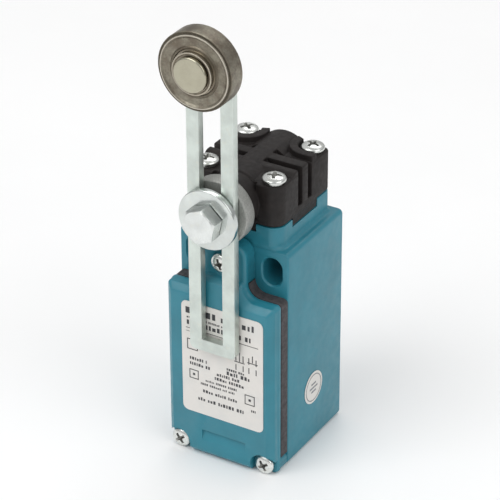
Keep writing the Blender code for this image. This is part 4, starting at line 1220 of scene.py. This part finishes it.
def cover_gasket():
    """The gasket with slightly rounded outer edges."""
    low, high = GASKET
    gasket = plate(
        "cover_gasket", "Y",
        [shoulder_outline(0.15, SHOULDER + 1.8, 0.3), box_outline(-11.4, -45.6, 11.4, -9.6, 1.5)],
        low.y, high.y,
    )
    bevel(gasket, 0.3, 2, 60)
    for side in (-1, 1):
        x = sorted((side * (BODY_HALF - 5.2), side * (BODY_HALF + 1)))
        cut(gasket, block("corner", (x[0], -31, BODY_BOTTOM - 1), (x[1], -25, BODY_BOTTOM + 3.8)))
        cut(gasket, rod("hole", "Y", (side * COVER_SCREW_X, COVER_SCREW_Z), -31, -25, 2.2, 32))
    finished(gasket, "base", "rubber", "cover_gasket")


# --- Springs ---


def spring(name):
    """One of the two springs, copied from its CAD node onto the base, with a mesh of its own."""
    node = frame["nodes"][name]
    mesh = node.data.copy()
    mesh.transform(node.matrix_world)
    mesh.materials.clear()
    mesh.materials.append(MATS["spring"])
    piece = placed(mesh, name, "base", name)
    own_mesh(piece)


# --- The CAD nodes that are shown as they are ---

NODE_FINISH = {
    "rating_label": "label", "head_seal": "rubber", "shaft_seal": "rubber",
    "shaft_bushing": "bronze", "contact_block": "block", "block_lid": "lid",
    "plunger": "carrier", "contact_carrier": "carrier", "shaft_clip": "spring",
}


def finish_for(node):
    """The material of a CAD node: as listed, or by its name, silver for contacts, zinc for the rest."""
    if node in NODE_FINISH:
        return MATS[NODE_FINISH[node]]
    if "contact" in node or "bridge" in node:
        return MATS["silver"]
    return MATS["inner_zinc"]


def dress_nodes():
    for name, obj in frame["nodes"].items():
        if obj.hide_render:
            continue
        obj.data.materials.clear()
        obj.data.materials.append(finish_for(name))


# --- Stage ---

CAMERA_AIM = Vector((-0.24, -18.58, -0.96))
CAMERA_AZIMUTH = 30.88
CAMERA_ELEVATION = 30.03
CAMERA_ROLL = -0.29
CAMERA_DISTANCE = 600.0
CAMERA_LENS = 179.5


def direction(azimuth, elevation):
    a, e = math.radians(azimuth), math.radians(elevation)
    return Vector((math.sin(a) * math.cos(e), -math.cos(a) * math.cos(e), math.sin(e)))


def camera():
    data = bpy.data.cameras.new("camera")
    data.lens = CAMERA_LENS
    data.sensor_width = 36.0
    data.clip_start = 0.01
    obj = bpy.data.objects.new("camera", data)
    back = direction(CAMERA_AZIMUTH, CAMERA_ELEVATION)
    obj.rotation_mode = "QUATERNION"
    obj.location = (CAMERA_AIM + back * CAMERA_DISTANCE) * MM
    obj.rotation_quaternion = (-back).to_track_quat("-Z", "Y") @ Matrix.Rotation(
        math.radians(CAMERA_ROLL), 3, "Z"
    ).to_quaternion()
    bpy.context.scene.collection.objects.link(obj)
    bpy.context.scene.camera = obj


def soft_light(name, azimuth, elevation, distance, size, power):
    data = bpy.data.lights.new(name, "AREA")
    data.shape = "RECTANGLE"
    data.size = size[0]
    data.size_y = size[1]
    data.energy = power
    obj = bpy.data.objects.new(name, data)
    toward = direction(azimuth, elevation)
    obj.location = toward * distance
    obj.rotation_mode = "QUATERNION"
    obj.rotation_quaternion = toward.to_track_quat("Z", "Y")
    bpy.context.scene.collection.objects.link(obj)


def floor():
    bm = bmesh.new()
    bmesh.ops.create_grid(bm, x_segments=1, y_segments=1, size=3.0)
    mesh = mesh_of("floor", bm)
    obj = bpy.data.objects.new("floor", mesh)
    obj.location = (0, 0, (BODY_BOTTOM - 0.05) * MM)
    s = Shader("pale_floor", (0.96, 0.96, 0.96), 0.6)
    s.color(s.mix(s.ramp(s.noise(60.0, 3), 0.3, 0.7), (0.95, 0.95, 0.95), (0.97, 0.97, 0.97)))
    mesh.materials.append(s.done())
    bpy.context.scene.collection.objects.link(obj)


def world():
    """A bright sky that falls off towards the horizon, so that metal has something to reflect."""
    made = bpy.data.worlds.new("studio")
    made.use_nodes = True
    tree = made.node_tree
    background = tree.nodes["Background"]
    coord = tree.nodes.new("ShaderNodeTexCoord")
    split = tree.nodes.new("ShaderNodeSeparateXYZ")
    ramp = tree.nodes.new("ShaderNodeValToRGB")
    tree.links.new(coord.outputs["Generated"], split.inputs[0])
    tree.links.new(split.outputs["Z"], ramp.inputs["Fac"])
    stops = (0.0, (0.62, 0.63, 0.64, 1)), (0.55, (1.0, 1.0, 1.0, 1))
    for element, (position, color) in zip(ramp.color_ramp.elements, stops):
        element.position = position
        element.color = color
    tree.links.new(ramp.outputs["Color"], background.inputs["Color"])
    background.inputs["Strength"].default_value = 0.62
    bpy.context.scene.world = made


def stage():
    camera()
    floor()
    world()
    soft_light("key", -25, 48, 1.1, (0.7, 0.7), 4.7)
    soft_light("fill", 75, 35, 1.3, (0.9, 0.9), 3.8)
    soft_light("back", 190, 55, 1.2, (0.8, 0.5), 2.4)
    view = bpy.context.scene.view_settings
    view.view_transform = "Standard"
    view.look = "None"


# --- Assembly ---

housing()
cover()
cover_gasket()
label_print()
side_sticker()
head_casing()
screws()
hub()
lever_arm()
clamp_washer()
clamp_bolt()
roller()
roller_bushing()
roller_pin()
spring("plunger_spring")
spring("carrier_spring")
dress_nodes()
for cutter in list(CUTTERS.objects):
    bpy.data.objects.remove(cutter)
bpy.data.collections.remove(CUTTERS)
stage()
